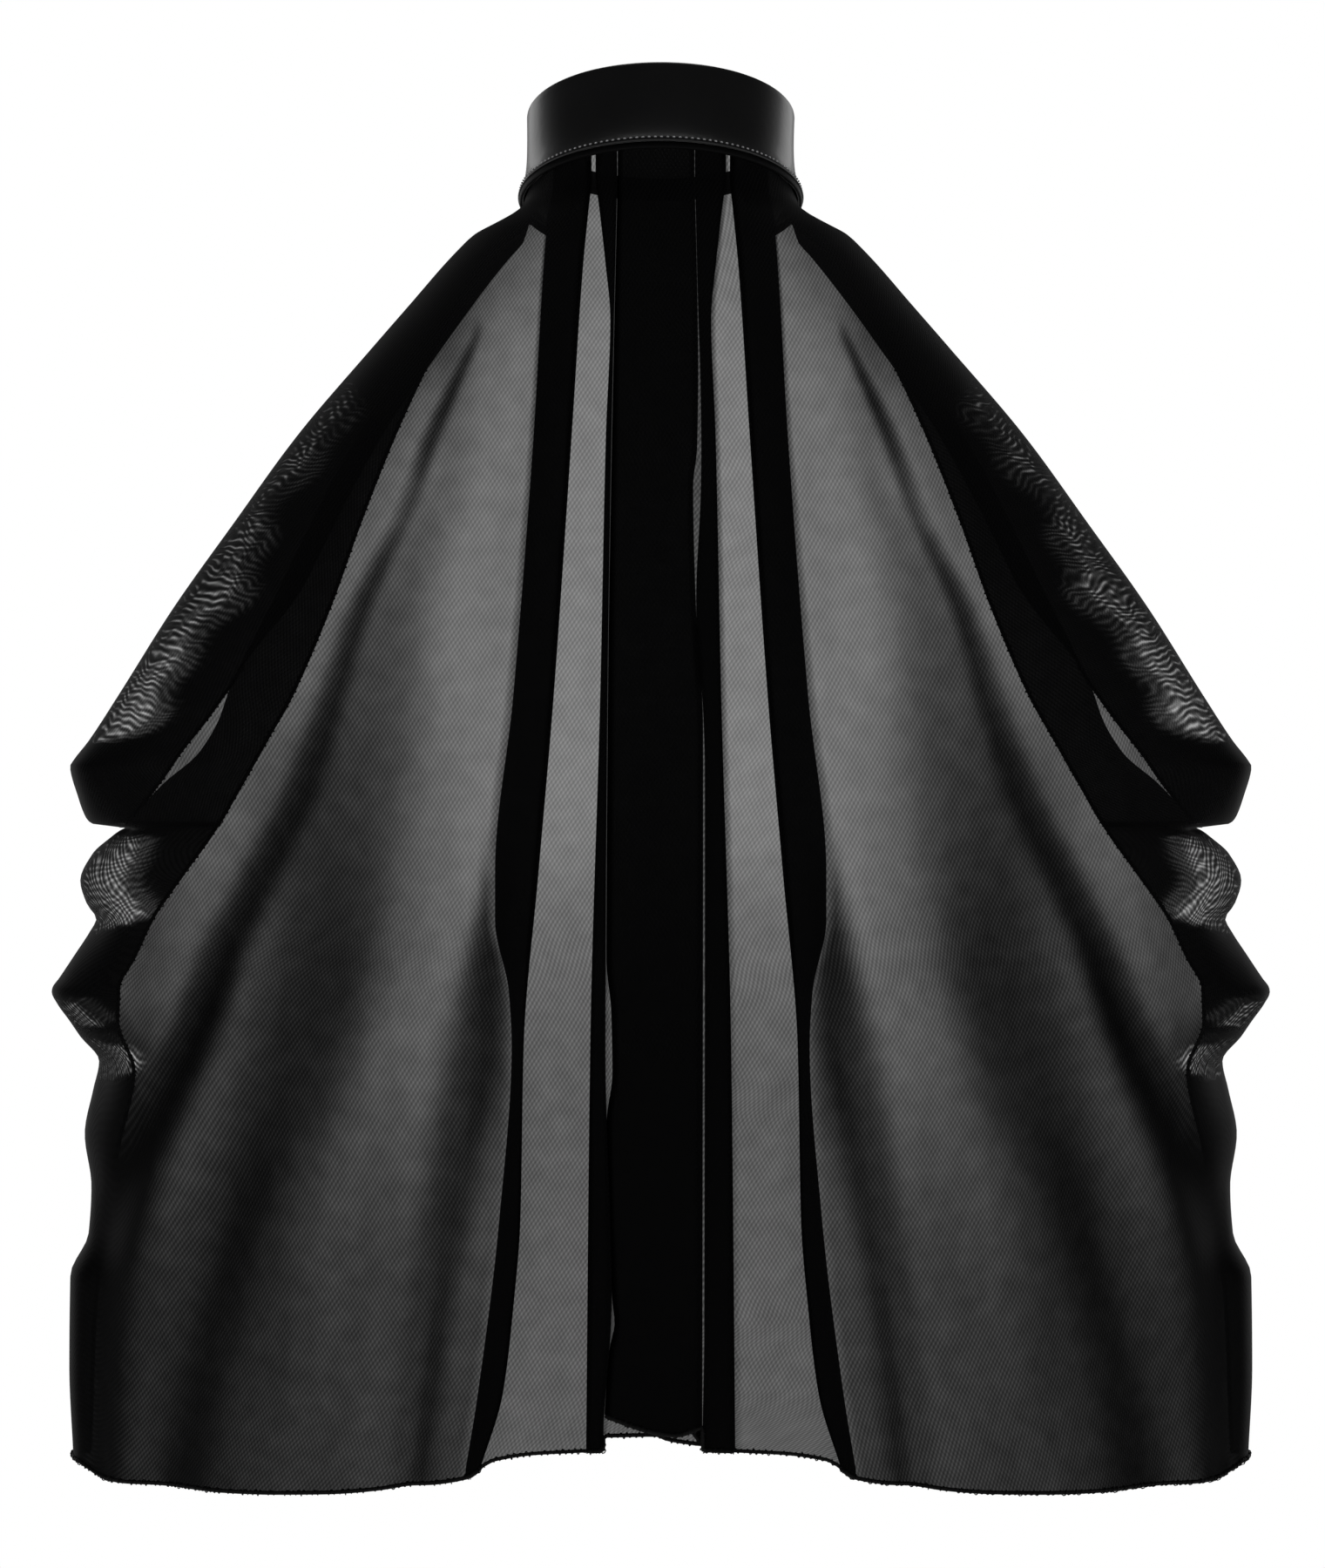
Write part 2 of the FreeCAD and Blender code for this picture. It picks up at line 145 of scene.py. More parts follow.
# the same without the lobes, for the cloth further in
BODY_WIDTH = Profile(
    (-10, 71), (-27, 83), (-36, 93), (-54, 111), (-77, 131), (-100, 151), (-145, 189.5),
    (-191, 223), (-236, 255), (-282, 284), (-320, 300), (-371, 304), (-435, 305), (-676, 305),
)
BACK_DEPTH = Profile(
    (-5, 70), (-54, 88), (-100, 104), (-190, 120), (-318, 134), (-435, 144), (-560, 152), (-676, 158)
)
FRONT_DEPTH = Profile(
    (-20, 71), (-54, 74), (-100, 78), (-190, 84), (-318, 80), (-360, 72), (-435, 60), (-560, 48),
    (-676, 40),
)

# edges of the pleats, from the middle outwards
BOX_PLEAT = Profile(
    (-10, 34), (-37, 31), (-64, 28), (-95, 25.3), (-154, 27.4), (-284, 30), (-456, 34.7), (-650, 36.5)
)
KNIFE_FOLD = Profile(
    (-10, 34.6), (-36, 36.6), (-64, 39), (-153, 44.4), (-284, 53), (-371, 60.3), (-457, 67.5),
    (-542, 69), (-585, 72.4), (-627, 77.5), (-665, 89),
)
KNIFE_BACK = Profile(
    (-10, 54), (-45, 58), (-153, 63.6), (-284, 73.2), (-371, 82), (-395, 82), (-430, 75), (-457, 73.5),
    (-542, 79.5), (-628, 90), (-665, 96),
)

# inner edges of the three layers over the middle, which leave narrow chinks beside them
LEFT_STACK = Profile((-10, -22), (-300, -26.5), (-457, -27.2), (-580, -24), (-640, -28))
MIDDLE_LEFT = Profile(
    (-10, -21.8), (-300, -26.3), (-414, -26.8), (-440, -24.4), (-470, -23.8), (-494, -26.6),
    (-580, -23.8), (-592, -22.6), (-604, -25), (-640, -27.8),
)
MIDDLE_RIGHT = Profile(
    (-10, 17), (-94, 18.6), (-120, 18.8), (-160, 18.2), (-179, 16.2), (-236, 17.4), (-300, 21),
    (-640, 20.4),
)
RIGHT_STACK = Profile(
    (-10, 17.2), (-94, 18.9), (-120, 19.7), (-160, 20.2), (-179, 20.0), (-236, 17.6), (-296, 21.2),
    (-320, 21.8), (-600, 21.3), (-640, 20.6),
)

# inner edges of the cloth that lies over the arms: the turned front edge, and the two sides
# of the slit between its two bands
FRONT_EDGE = Profile(
    (-10, 58), (-27, 77), (-48, 92), (-71, 107), (-94, 119.4), (-140, 141.7), (-187, 161),
    (-234, 178), (-281, 198), (-304, 211), (-328, 224.4), (-351, 237), (-374, 253), (-397, 268),
    (-420, 279), (-436, 287), (-453, 287), (-478, 278), (-520, 286), (-600, 297), (-676, 300),
)
SLIT_OUTER = Profile((-277, 231), (-294, 243), (-312, 257), (-327, 267), (-349, 283))
SLIT_INNER = Profile(
    (-40, 87), (-60, 103), (-94, 128), (-140, 160), (-230, 207), (-277, 230), (-294, 236),
    (-310, 245.5), (-314, 249), (-327, 264), (-351, 284),
)
NOTCH_HEIGHT = -350.0
SLIT_TOP = -277.0
SLIT_OVERLAP = 12.0
SLIT_OVERLAP_RUN = 60.0

# lower edge of the cloth against distance from the middle
HEM = Profile(
    (19, -653), (60, -655), (84, -659), (94, -667), (120, -672), (175, -678), (235, -681),
    (285, -683), (303, -677), (320, -675),
)
INNER_HEM = Profile((-30, -646.5), (-2, -646), (0, -647.4), (21, -650.8))
SLANTED_HEM = Profile((-28, -636.4), (-1, -645), (7, -646), (21, -641.5))


class Fold:
    """A soft furrow that runs down the cloth: middle, width, depth and, by height, the painted shade that
    darkens its valley.
    """

    def __init__(self, middle, width, depth, gather_and_shade):
        self.middle = Profile(*middle)
        self.width = Profile(*width)
        self.depth = Profile(*depth)
        self.gather_and_shade = Profile(*gather_and_shade)

    def at(self, x, z):
        return bump((x - self.middle(z)) / self.width(z))


# the last list of each fold is painted shade: how much darker the mesh is made along its valley, by height
OUTER_FOLD = Fold(
    [(-100, 93), (-150, 115), (-190, 129), (-240, 152), (-284, 165), (-330, 181), (-371, 200.5),
     (-415, 222), (-450, 236), (-490, 255), (-532, 274), (-575, 287), (-676, 293)],
    [(-100, 2.5), (-150, 4), (-240, 5.5), (-330, 8), (-415, 11), (-500, 13), (-676, 12)],
    [(-90, 0), (-150, 2), (-284, 3), (-371, 5), (-458, 9), (-676, 10)],
    [(-90, 0), (-110, 0.8), (-150, 1.2), (-190, 0.6), (-240, 1.1), (-330, 1.1), (-371, 1.5),
     (-415, 1.6), (-545, 1.2), (-590, 0.4), (-676, 0.05)],
)
MIDDLE_FOLD = Fold(
    [(-170, 106), (-240, 136), (-284, 147.5), (-330, 161.5), (-371, 167), (-415, 175), (-450, 187),
     (-490, 198), (-532, 214), (-575, 230), (-620, 242), (-676, 254)],
    [(-170, 10), (-240, 18), (-284, 26), (-330, 36), (-415, 36), (-458, 32), (-545, 26), (-676, 26)],
    [(-170, 0), (-284, 3), (-371, 8), (-458, 13), (-676, 13)],
    [(-170, 0.2), (-240, 0.6), (-284, 0.8), (-330, 1.1), (-415, 1.3), (-500, 1.0), (-590, 0.4),
     (-676, 0.05)],
)
PLEAT_FOLD = Fold(
    [(-340, 80), (-371, 82), (-415, 86), (-450, 91), (-490, 98), (-532, 105), (-575, 113),
     (-620, 119), (-676, 125)],
    [(-340, 3), (-371, 5), (-415, 9), (-458, 12), (-545, 11), (-676, 9)],
    [(-340, 0), (-415, 4), (-545, 6), (-676, 7)],
    [(-335, 0), (-371, 1.0), (-415, 1.8), (-458, 1.25), (-545, 0.8), (-590, 0.45), (-676, 0.3)],
)
FOLDS = (OUTER_FOLD, MIDDLE_FOLD, PLEAT_FOLD)

# painted shade: the side panels' mesh is made darker towards the hem, from about one layer as cut near the
# top to about two at the hem
PANEL_SHADE_BY_HEIGHT = Profile(
    (-60, 1.08), (-330, 1.1), (-371, 1.15), (-415, 1.26), (-458, 1.4), (-500, 1.6), (-545, 1.83),
    (-590, 2.0), (-676, 2.08),
)
# painted shade: the middle width beside the box pleat is made darker towards the hem
WEDGE_SHADE_BY_HEIGHT = Profile((-60, 1.0), (-330, 1.0), (-415, 1.28), (-500, 1.42), (-676, 1.42))
STACK_GATHER = 1.7

# where the cloth is uneven: by height, and by how far round from the silhouette it is
UNEVEN_HEIGHTS = (-40.0, -160.0)
UNEVEN_TURN = (0.0, 0.35)
# size, reach across, reach down and start of each wave of the unevenness
CRUMPLE_WAVES = ((0.9, 21.0, 63.0, 0.0), (0.6, 11.0, -47.0, 1.3), (0.35, 5.7, 29.0, 0.4))

# extra darkening of a wide panel, with the distances and heights between which it sets in: painted shade
# beside the knife pleat, darker mesh beyond the outer fold, and closer gathering inside the turned front
# edge and in the corner under the collar
BEYOND_FOLD_DARKENING = 0.12
BEYOND_FOLD_LOW_DARKENING = 0.25
BEYOND_FOLD_REACH = (-5.0, 9.0)
BEYOND_FOLD_HEIGHTS = (-430.0, -470.0)
BESIDE_PLEAT_SHADE = 0.55
BESIDE_PLEAT_REACH = (0.0, 10.0)
BESIDE_PLEAT_HEIGHT = -468.0
BESIDE_PLEAT_SPREAD = 42.0
BESIDE_EDGE_GATHER = 0.25
BESIDE_EDGE_REACH = (22.0, 0.0)
BESIDE_EDGE_HEIGHTS = (-170.0, -110.0)
CORNER_GATHER = 3.0
CORNER_REACH = (0.0, 3.0)
CORNER_HEIGHTS = (-54.0, -45.0)
CORNER_SIDE_REACH = (6.0, 12.0)


def flute(x, z):
    """How far the folds push the cloth in, at a distance from the middle and a height."""
    return sum(fold.depth(z) * fold.at(x, z) for fold in FOLDS)


def crumple(x, z):
    """Slight unevenness of the cloth's depth."""
    return sum(size * np.sin(x / across + z / down + start) for size, across, down, start in CRUMPLE_WAVES)


def relief(x, z, around):
    """Furrows and unevenness, which fade out near the neckline and towards the silhouette."""
    uneven = crumple(x, z) * ramp(z, *UNEVEN_HEIGHTS)
    return (flute(x, z) + uneven) * ramp(around, *UNEVEN_TURN)


def back_depth(x, z):
    """Depth behind the wearer of the outermost layer."""
    around = np.sqrt(np.clip(1 - np.square(x / BODY_WIDTH(z)), 0.0, 1.0))
    return -BACK_DEPTH(z) * around + relief(np.abs(x), z, around)


def darker_beyond_fold(x, z):
    """Darker mesh outside the outer fold, and darker still below the arms."""
    low = BEYOND_FOLD_LOW_DARKENING * ramp(z, *BEYOND_FOLD_HEIGHTS)
    return (BEYOND_FOLD_DARKENING + low) * ramp(x - OUTER_FOLD.middle(z), *BEYOND_FOLD_REACH)


def painted_shade_beside_pleat(x, z):
    """Painted shade between the knife pleat and the fold next to it, about two thirds of the way down."""
    level = bump((z - BESIDE_PLEAT_HEIGHT) / BESIDE_PLEAT_SPREAD)
    return BESIDE_PLEAT_SHADE * level * ramp(PLEAT_FOLD.middle(z) - x, *BESIDE_PLEAT_REACH)


def gather_beside_edge(x, z):
    """Just inside the turned front edge, over the shoulders."""
    level = ramp(z, *BESIDE_EDGE_HEIGHTS)
    return BESIDE_EDGE_GATHER * level * ramp(FRONT_EDGE(z) - x, *BESIDE_EDGE_REACH)


def gather_in_corner(x, z):
    """Between the front edge and the silhouette, right under the collar."""
    inside = ramp(x - FRONT_EDGE(z), *CORNER_REACH) * ramp(HALF_WIDTH(z) - x, *CORNER_SIDE_REACH)
    return CORNER_GATHER * ramp(z, *CORNER_HEIGHTS) * inside


def panel_gather_and_shade(x, z):
    """How dark the mesh of a wide side panel is; 1 is one layer as it is cut. It adds real gathering to
    painted shade along the fold valleys, beside the knife pleat and towards the hem.
    """
    gather_and_shade = PANEL_SHADE_BY_HEIGHT(z)
    for fold in FOLDS:
        gather_and_shade = gather_and_shade + fold.gather_and_shade(z) * fold.at(x, z)
    gather_and_shade = gather_and_shade + darker_beyond_fold(x, z) + painted_shade_beside_pleat(x, z)
    gather_and_shade = gather_and_shade + gather_beside_edge(x, z) + gather_in_corner(x, z)
    return gather_and_shade * (1 - LOOSENING * loose_share(x, z) * (1 - below_arms(z)))


def wedge_layer_and_shade(x, z):
    """One layer of the middle width where it shows beside the box pleat, with painted shade that darkens
    it towards the hem.
    """
    return WEDGE_SHADE_BY_HEIGHT(z)


def stack_gather(x, z):
    """Gathering of the layers over the middle, which show only as black."""
    return STACK_GATHER


# how far in from the silhouette the layers lie loose, and how ragged that stretch ends
LOOSE_WIDTH = Profile(
    (-45, 8), (-100, 14), (-190, 27), (-284, 34), (-300, 24), (-312, 3), (-351, 3), (-356, 30),
    (-392, 34), (-405, 12), (-420, 2), (-437, 2), (-441, 26), (-452, 30), (-457, 3), (-462, 30),
    (-478, 26), (-486, 4), (-700, 4),
)
LOOSE_BLUR = 9.0
RAGGED_WIDTHS = (8.0, 16.0)
# size, reach down and start of each wave of the ragged end
RAGGED_WAVES = ((5.0, 13.0, 0.0), (3.0, 5.3, 1.0))
BELOW_ARMS_HEIGHTS = (-478.0, -502.0)

# gathering of the cloth over the arms: where it is bunched, where it lies loose, and low down
ARM_LAYERS = 2.5
LOOSE_LAYER = Profile(
    (-45, 0.95), (-225, 0.85), (-262, 0.5), (-285, 0.36), (-340, 0.4), (-352, 0.5), (-700, 0.5)
)
LOW_LAYER = 0.9
LOOSENING = 0.55


def loose_share(x, z):
    """1 in the places by the silhouette where the cloth isn't bunched, 0 further in."""
    ragged = sum(size * np.sin(z / down + start) for size, down, start in RAGGED_WAVES)
    width = LOOSE_WIDTH(z) + ragged * ramp(LOOSE_WIDTH(z), *RAGGED_WIDTHS)
    return ramp(HALF_WIDTH(z) - x, width, width - LOOSE_BLUR)


def below_arms(z):
    """0 beside the arms, 1 lower down, where the front edge hangs as a single layer."""
    return ramp(z, *BELOW_ARMS_HEIGHTS)


def arm_gather(x, z):
    """The cloth over the arms lies in several layers, but for some places by the silhouette."""
    loose, low = loose_share(x, z), below_arms(z)
    layers = ARM_LAYERS * (1 - loose) + LOOSE_LAYER(z) * loose
    return layers * (1 - low) + LOW_LAYER * low


def band_gather(x, z):
    """Gathering of the band along the front edge, which is bunched all the way."""
    return ARM_LAYERS


# ---------------------------------------------------------------- grids of cloth

FREE_TOP = -75.0
FREE_BOTTOM = -625.0
# runs of rows: first height, last height and pitch, closer together beside lobes and notch
LEVEL_RUNS = (
    (FREE_TOP, -300, 4.5), (-300, -343, 2.5), (-343, -349.5, 1.1), (-350.5, -366, 1.4),
    (-366, -428, 3.0), (-428, -444, 1.6), (-444, -490, 2.6), (-490, FREE_BOTTOM, 4.5),
)
TOP_ROWS = 18
BOTTOM_ROWS = 12


def level_heights():
    """Heights of the rows where the cloth hangs free."""
    levels = []
    for start, end, pitch in LEVEL_RUNS:
        count = max(2, int(round(abs(end - start) / pitch)))
        levels.extend(start + (end - start) * i / count for i in range(count))
    levels.append(FREE_BOTTOM)
    return np.array(levels)


LEVELS = level_heights()


def row_heights(top, bottom):
    """Heights of all rows of a line of cloth that starts at `top` and ends at `bottom`."""
    upper = top + (FREE_TOP - top) * np.linspace(0, 1, TOP_ROWS, endpoint=False)
    lower = FREE_BOTTOM + (bottom - FREE_BOTTOM) * np.linspace(0, 1, BOTTOM_ROWS + 1)[1:]
    return np.concatenate([upper, LEVELS, lower])


class Column:
    """One line down the cloth: where it starts on the neckline and how it hangs from there."""

    def __init__(self, ring_angle, bottom, place, gather_and_shade, settle):
        self.ring_angle = math.radians(ring_angle)
        self.bottom = bottom
        self.place = place
        self.gather_and_shade = gather_and_shade
        self.settle = settle

    def anchor(self):
        """Place on the neckline; the cloth pulls a little away from the binding at the sides."""
        from_sag = abs(math.degrees(self.ring_angle)) - NECKLINE_SAG_ANGLE
        sag = NECKLINE_SAG * float(bump(from_sag / NECKLINE_SAG_SPREAD))
        return tilted(
            NECKLINE_RADIUS * math.sin(self.ring_angle),
            -NECKLINE_RADIUS * math.cos(self.ring_angle),
            -NECKLINE_DROP - sag,
        )

    def points(self):
        """Points of this line at every row, and how dark the cloth is there: its gathering, with painted
        shade in places.
        """
        anchor = self.anchor()
        z = row_heights(anchor[2], self.bottom)
        x, y = self.place(z)
        free = smooth((anchor[2] - z) / self.settle)
        x = anchor[0] + (x - anchor[0]) * free
        y = anchor[1] + (y - anchor[1]) * free
        return np.stack([x, y, z], axis=1), self.gather_and_shade(np.abs(x), z) * np.ones_like(z)


LAYER_STEP = 1.7
PLEAT_TOP = -18.0
PLEAT_SETTLE = 30.0
SIDE_SETTLE = 16.0
LARGEST_SINE = 0.98
WEDGE_BILLOW = 2.2
WEDGE_COLUMNS = 15
LEFT_STACK_COLUMNS = 4
RIGHT_STACK_COLUMNS = 5
MIDDLE_COLUMNS = 12
BETWEEN_COLUMNS = 10
KNIFE_COLUMNS = 6
PANEL_COLUMNS = 83
ARM_COLUMNS = 16
BAND_COLUMNS = 10


def ring_angle_of(x):
    """Angle round the neckline from the middle of the back, for a distance from the middle."""
    return math.degrees(math.asin(min(LARGEST_SINE, max(-LARGEST_SINE, x / NECKLINE_RADIUS))))


def spread(count):
    """Evenly spaced shares from 0 to 1, both included."""
    return [i / (count - 1) for i in range(count)]


def x_at(place, height):
    """Distance from the middle of a hanging line at one height."""
    return float(place(np.array([height]))[0][0])


def layer_column(near, far, share, inset, hem, gather_and_shade):
    """Column between two edge profiles, `inset` behind the outermost layer."""

    def place(z):
        x = near(z) + (far(z) - near(z)) * share
        return x, back_depth(x, z) + inset

    low = x_at(place, HEM_HEIGHT)
    bottom = float(hem(abs(low) if hem is HEM else low))
    return Column(ring_angle_of(x_at(place, PLEAT_TOP)), bottom, place, gather_and_shade, PLEAT_SETTLE)


def mirror(profile):
    """The same edge on the other side."""
    return lambda z: -profile(z)


def layer(near, far, count, inset, hem, gather_and_shade, skip_first=True):
    """Columns of one flat layer from one edge to another."""
    shares = spread(count)[1:] if skip_first else spread(count)
    return [layer_column(near, far, share, inset, hem, gather_and_shade) for share in shares]


def wedge(near, far):
    """Single layer beside the box pleat, whose two sides lie under the folds next to it."""
    columns = []
    for share in spread(WEDGE_COLUMNS):
        inset = 2 * LAYER_STEP - WEDGE_BILLOW * math.sin(math.pi * share)
        columns.append(layer_column(near, far, share, inset, HEM, wedge_layer_and_shade))
    return columns


def left_stack(left):
    """Three layers to the left of the middle, from the deepest to the outermost."""
    columns = layer(left, LEFT_STACK, LEFT_STACK_COLUMNS, 2 * LAYER_STEP, HEM, stack_gather)
    columns += layer(LEFT_STACK, left, LEFT_STACK_COLUMNS, LAYER_STEP, HEM, stack_gather)
    return columns + layer(left, LEFT_STACK, LEFT_STACK_COLUMNS, 0.0, HEM, stack_gather)


def middle_stack():
    """Three layers over the middle, whose lower ends hang at different slants."""
    columns = layer(MIDDLE_LEFT, MIDDLE_RIGHT, MIDDLE_COLUMNS, 2 * LAYER_STEP, INNER_HEM,
                    wedge_layer_and_shade, skip_first=False)
    columns += layer(MIDDLE_RIGHT, MIDDLE_LEFT, BETWEEN_COLUMNS, LAYER_STEP, SLANTED_HEM, stack_gather)
    return columns + layer(MIDDLE_LEFT, MIDDLE_RIGHT, MIDDLE_COLUMNS, 0.0, SLANTED_HEM, stack_gather)


def right_stack(right):
    """Three layers to the right of the middle, from the outermost to the deepest."""
    columns = layer(RIGHT_STACK, right, RIGHT_STACK_COLUMNS, 0.0, HEM, stack_gather, skip_first=False)
    columns += layer(right, RIGHT_STACK, RIGHT_STACK_COLUMNS, LAYER_STEP, HEM, stack_gather)
    return columns + layer(RIGHT_STACK, right, RIGHT_STACK_COLUMNS, 2 * LAYER_STEP, HEM, stack_gather)


def middle_columns():
    """The middle width from its left hidden edge to its right one, pleated in three stacks."""
    left, right = mirror(BOX_PLEAT), BOX_PLEAT
    columns = wedge(mirror(KNIFE_BACK), left) + left_stack(left) + middle_stack()
    return columns + right_stack(right) + wedge(right, KNIFE_BACK)[1:]


# share of the way round at which the cloth starts and ends to follow the lobes
LOBE_SHARES = (0.55, 0.85)
WIDEST_SHARE = 0.999
SWAY = 1.2
SWAY_REACH = 17.0
SWAY_SHIFT = 3.0


def near_panel_column(share):
    """Column of the wide panel, `share` of the way round from the knife pleat to the side."""

    def place(z):
        width = BODY_WIDTH(z) + (HALF_WIDTH(z) - BODY_WIDTH(z)) * ramp(share, *LOBE_SHARES)
        start = np.arcsin(KNIFE_BACK(z) / width)
        turn = start + (math.pi / 2 - start) * share
        x = width * np.sin(turn)
        return x, -BACK_DEPTH(z) * np.cos(turn) + relief(x, z, np.cos(turn))

    start_angle = ring_angle_of(float(KNIFE_BACK(PLEAT_TOP)))
    angle = start_angle + (90 - start_angle) * share
    settle = PLEAT_SETTLE + (SIDE_SETTLE - PLEAT_SETTLE) * share
    return Column(angle, float(HEM(x_at(place, HEM_HEIGHT))), place, panel_gather_and_shade, settle)


def joined_edge(z):
    """Inner edge of the cloth that is joined to the side: the slit, then the front edge."""
    z = np.asarray(z, float)
    tucked = SLIT_INNER(z) - SLIT_OVERLAP * ramp(z, SLIT_TOP, SLIT_TOP + SLIT_OVERLAP_RUN)
    above = np.where(z > SLIT_TOP, tucked, SLIT_OUTER(z))
    return np.where(z > NOTCH_HEIGHT, above, FRONT_EDGE(z))


def arm_column(share):
    """Column of the cloth in front of the arm, from the side (0) to its inner edge (1)."""

    def place(z):
        width = HALF_WIDTH(z)
        edge = np.minimum(joined_edge(z), width * WIDEST_SHARE)
        last = math.pi - np.arcsin(edge / width)
        turn = math.pi / 2 + (last - math.pi / 2) * share
        sway = SWAY * np.sin(z / SWAY_REACH + SWAY_SHIFT * share) * share
        return width * np.sin(turn), -FRONT_DEPTH(z) * np.cos(turn) + sway

    angle = 90 + (NECKLINE_END_ANGLE - 90) * share
    return Column(angle, float(HEM(x_at(place, HEM_HEIGHT))), place, arm_gather, SIDE_SETTLE)


def side_columns():
    """A wide side panel: knife pleat, panel, side and the cloth over the arm."""
    columns = layer(KNIFE_BACK, KNIFE_FOLD, KNIFE_COLUMNS, LAYER_STEP, HEM, stack_gather, skip_first=False)
    columns += layer(KNIFE_FOLD, KNIFE_BACK, KNIFE_COLUMNS, 0.0, HEM, stack_gather)
    columns += [near_panel_column(share) for share in spread(PANEL_COLUMNS + 1)[1:]]
    return columns + [arm_column(share) for share in spread(ARM_COLUMNS + 1)[1:]]


# the band along the front edge: where it starts on the neckline, and how it lies
BAND_START_ANGLE = 98.0
BAND_INSET = 5.0
BAND_SWAY = 1.5
BAND_SWAY_REACH = 23.0
BAND_SWAY_SHIFT = 4.0


def band_column(share):
    """Column of the band along the front edge, from the slit (0) to the edge (1)."""

    def place(z):
        outer = SLIT_INNER(z)
        x = outer + (FRONT_EDGE(z) - outer) * share
        around = np.sqrt(np.clip(1 - np.square(x / HALF_WIDTH(z)), 0, 1))
        sway = BAND_SWAY * np.sin(z / BAND_SWAY_REACH + BAND_SWAY_SHIFT * share)
        return x, (FRONT_DEPTH(z) - BAND_INSET) * around + sway

    angle = BAND_START_ANGLE + (NECKLINE_END_ANGLE - BAND_START_ANGLE) * share
    return Column(angle, HEM_HEIGHT, place, band_gather, SIDE_SETTLE)


class Grid:
    """Rows and columns of points, with how dark each is made (gathering and painted shade) and their flat
    places.
    """

    def __init__(self, columns):
        made = [column.points() for column in columns]
        self.points = np.stack([points for points, _ in made], axis=1)
        self.gather_and_shade = np.stack([gather_and_shade for _, gather_and_shade in made], axis=1)
        self.flat = flat_places(self.points)
        self.skip = np.zeros((self.points.shape[0] - 1, len(columns) - 1), bool)

    def mirrored(self):
        """The same cloth on the other side, with its columns in reverse order."""
        other = Grid.__new__(Grid)
        other.points = self.points[:, ::-1] * np.array([-1.0, 1.0, 1.0])
        other.gather_and_shade = self.gather_and_shade[:, ::-1]
        other.flat = self.flat[:, ::-1] * np.array([-1.0, 1.0])
        other.skip = self.skip[:, ::-1]
        return other


def flat_places(points):
    """Distance across and down the cloth of each point, so that its weave keeps its size."""
    across = np.linalg.norm(np.diff(points, axis=1), axis=2)
    down = np.linalg.norm(np.diff(points, axis=0), axis=2)
    u = np.concatenate([np.zeros((len(points), 1)), np.cumsum(across, axis=1)], axis=1)
    v = np.concatenate([np.zeros((1, points.shape[1])), np.cumsum(down, axis=0)], axis=0)
    return np.stack([u, v], axis=2)


def cloth_object(name, grids):
    """Mesh object of one or more grids, with its gathering and painted shade and its flat coordinates."""
    vertices, faces, gather_and_shade, flat = [], [], [], []
    for grid in grids:
        base = sum(len(v) for v in vertices)
        rows, columns = grid.gather_and_shade.shape
        vertices.append(grid.points.reshape(-1, 3))
        gather_and_shade.append(grid.gather_and_shade.reshape(-1))
        flat.append(grid.flat.reshape(-1, 2))
        for row in range(rows - 1):
            for column in range(columns - 1):
                if not grid.skip[row, column]:
                    corner = base + row * columns + column
                    faces.append((corner, corner + columns, corner + columns + 1, corner + 1))
    places = np.concatenate(vertices)
    mesh = bpy.data.meshes.new(name)
    mesh.from_pydata((places * MM).tolist(), [], faces)
    x, z = np.abs(places[:, 0]), places[:, 2]
    loose = loose_share(x, z) * (1 - below_arms(z))
    for label, values in (("gather_and_shade", np.concatenate(gather_and_shade)), ("loose", loose)):
        attribute = mesh.attributes.new(label, "FLOAT", "POINT")
        attribute.data.foreach_set("value", values.astype(np.float32))
    flat_layer = mesh.uv_layers.new(name="Flat")
    corners = np.zeros(len(mesh.loops), int)
    mesh.loops.foreach_get("vertex_index", corners)
    flat_layer.data.foreach_set("uv", np.concatenate(flat)[corners].astype(np.float32).reshape(-1))
    mesh.shade_smooth()
    return linked(name, mesh)


def linked(name, mesh):
    """Object of a mesh, placed in the scene."""
    obj = bpy.data.objects.new(name, mesh)
    bpy.context.scene.collection.objects.link(obj)
    return obj


def piece(obj, slot, material, *nodes, body="cape"):
    """Dress a new piece, hang it on a body and hide the CAD parts it stands for."""
    obj.data.materials.clear()
    obj.data.materials.append(material)
    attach(obj, body)
    if nodes:
        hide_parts(*nodes)
    return obj


# ---------------------------------------------------------------- threads and tubes

TINY = 1e-12
SAME_POINT = 1e-6
FEWEST_POINTS = 4
# a path that leans less than this from upright takes another direction as its side
TUBE_UPRIGHT = 0.1
LOOP_UPRIGHT = 0.05


def sleeve_faces(rings, count):
    """Faces between rings of `count` points each, closed at both ends."""
    faces = []
    for ring in range(rings - 1):
        for k in range(count):
            a, b = ring * count + k, ring * count + (k + 1) % count
            faces.append((a, b, b + count, a + count))
    last = (rings - 1) * count
    faces.append(tuple(reversed(range(count))))
    faces.append(tuple(last + k for k in range(count)))
    return faces


def directions(path):
    """Unit vectors along a path."""
    ahead = np.gradient(path, axis=0)
    return ahead / (np.linalg.norm(ahead, axis=1)[:, None] + TINY)


def tube_parts(path, radius, sides):
    """Vertices and faces of a round tube along a path of points."""
    path = np.asarray(path, float)
    ahead = directions(path)
    side = np.cross(ahead[0], [0.0, 0.0, 1.0])
    if np.linalg.norm(side) < TUBE_UPRIGHT:
        side = np.cross(ahead[0], [1.0, 0.0, 0.0])
    vertices = []
    for point, direction in zip(path, ahead):
        side = side - direction * np.dot(side, direction)
        side /= np.linalg.norm(side) + TINY
        up = np.cross(direction, side)
        for k in range(sides):
            turn = 2 * math.pi * k / sides
            vertices.append(point + radius * (math.cos(turn) * side + math.sin(turn) * up))
    return vertices, sleeve_faces(len(path), sides)


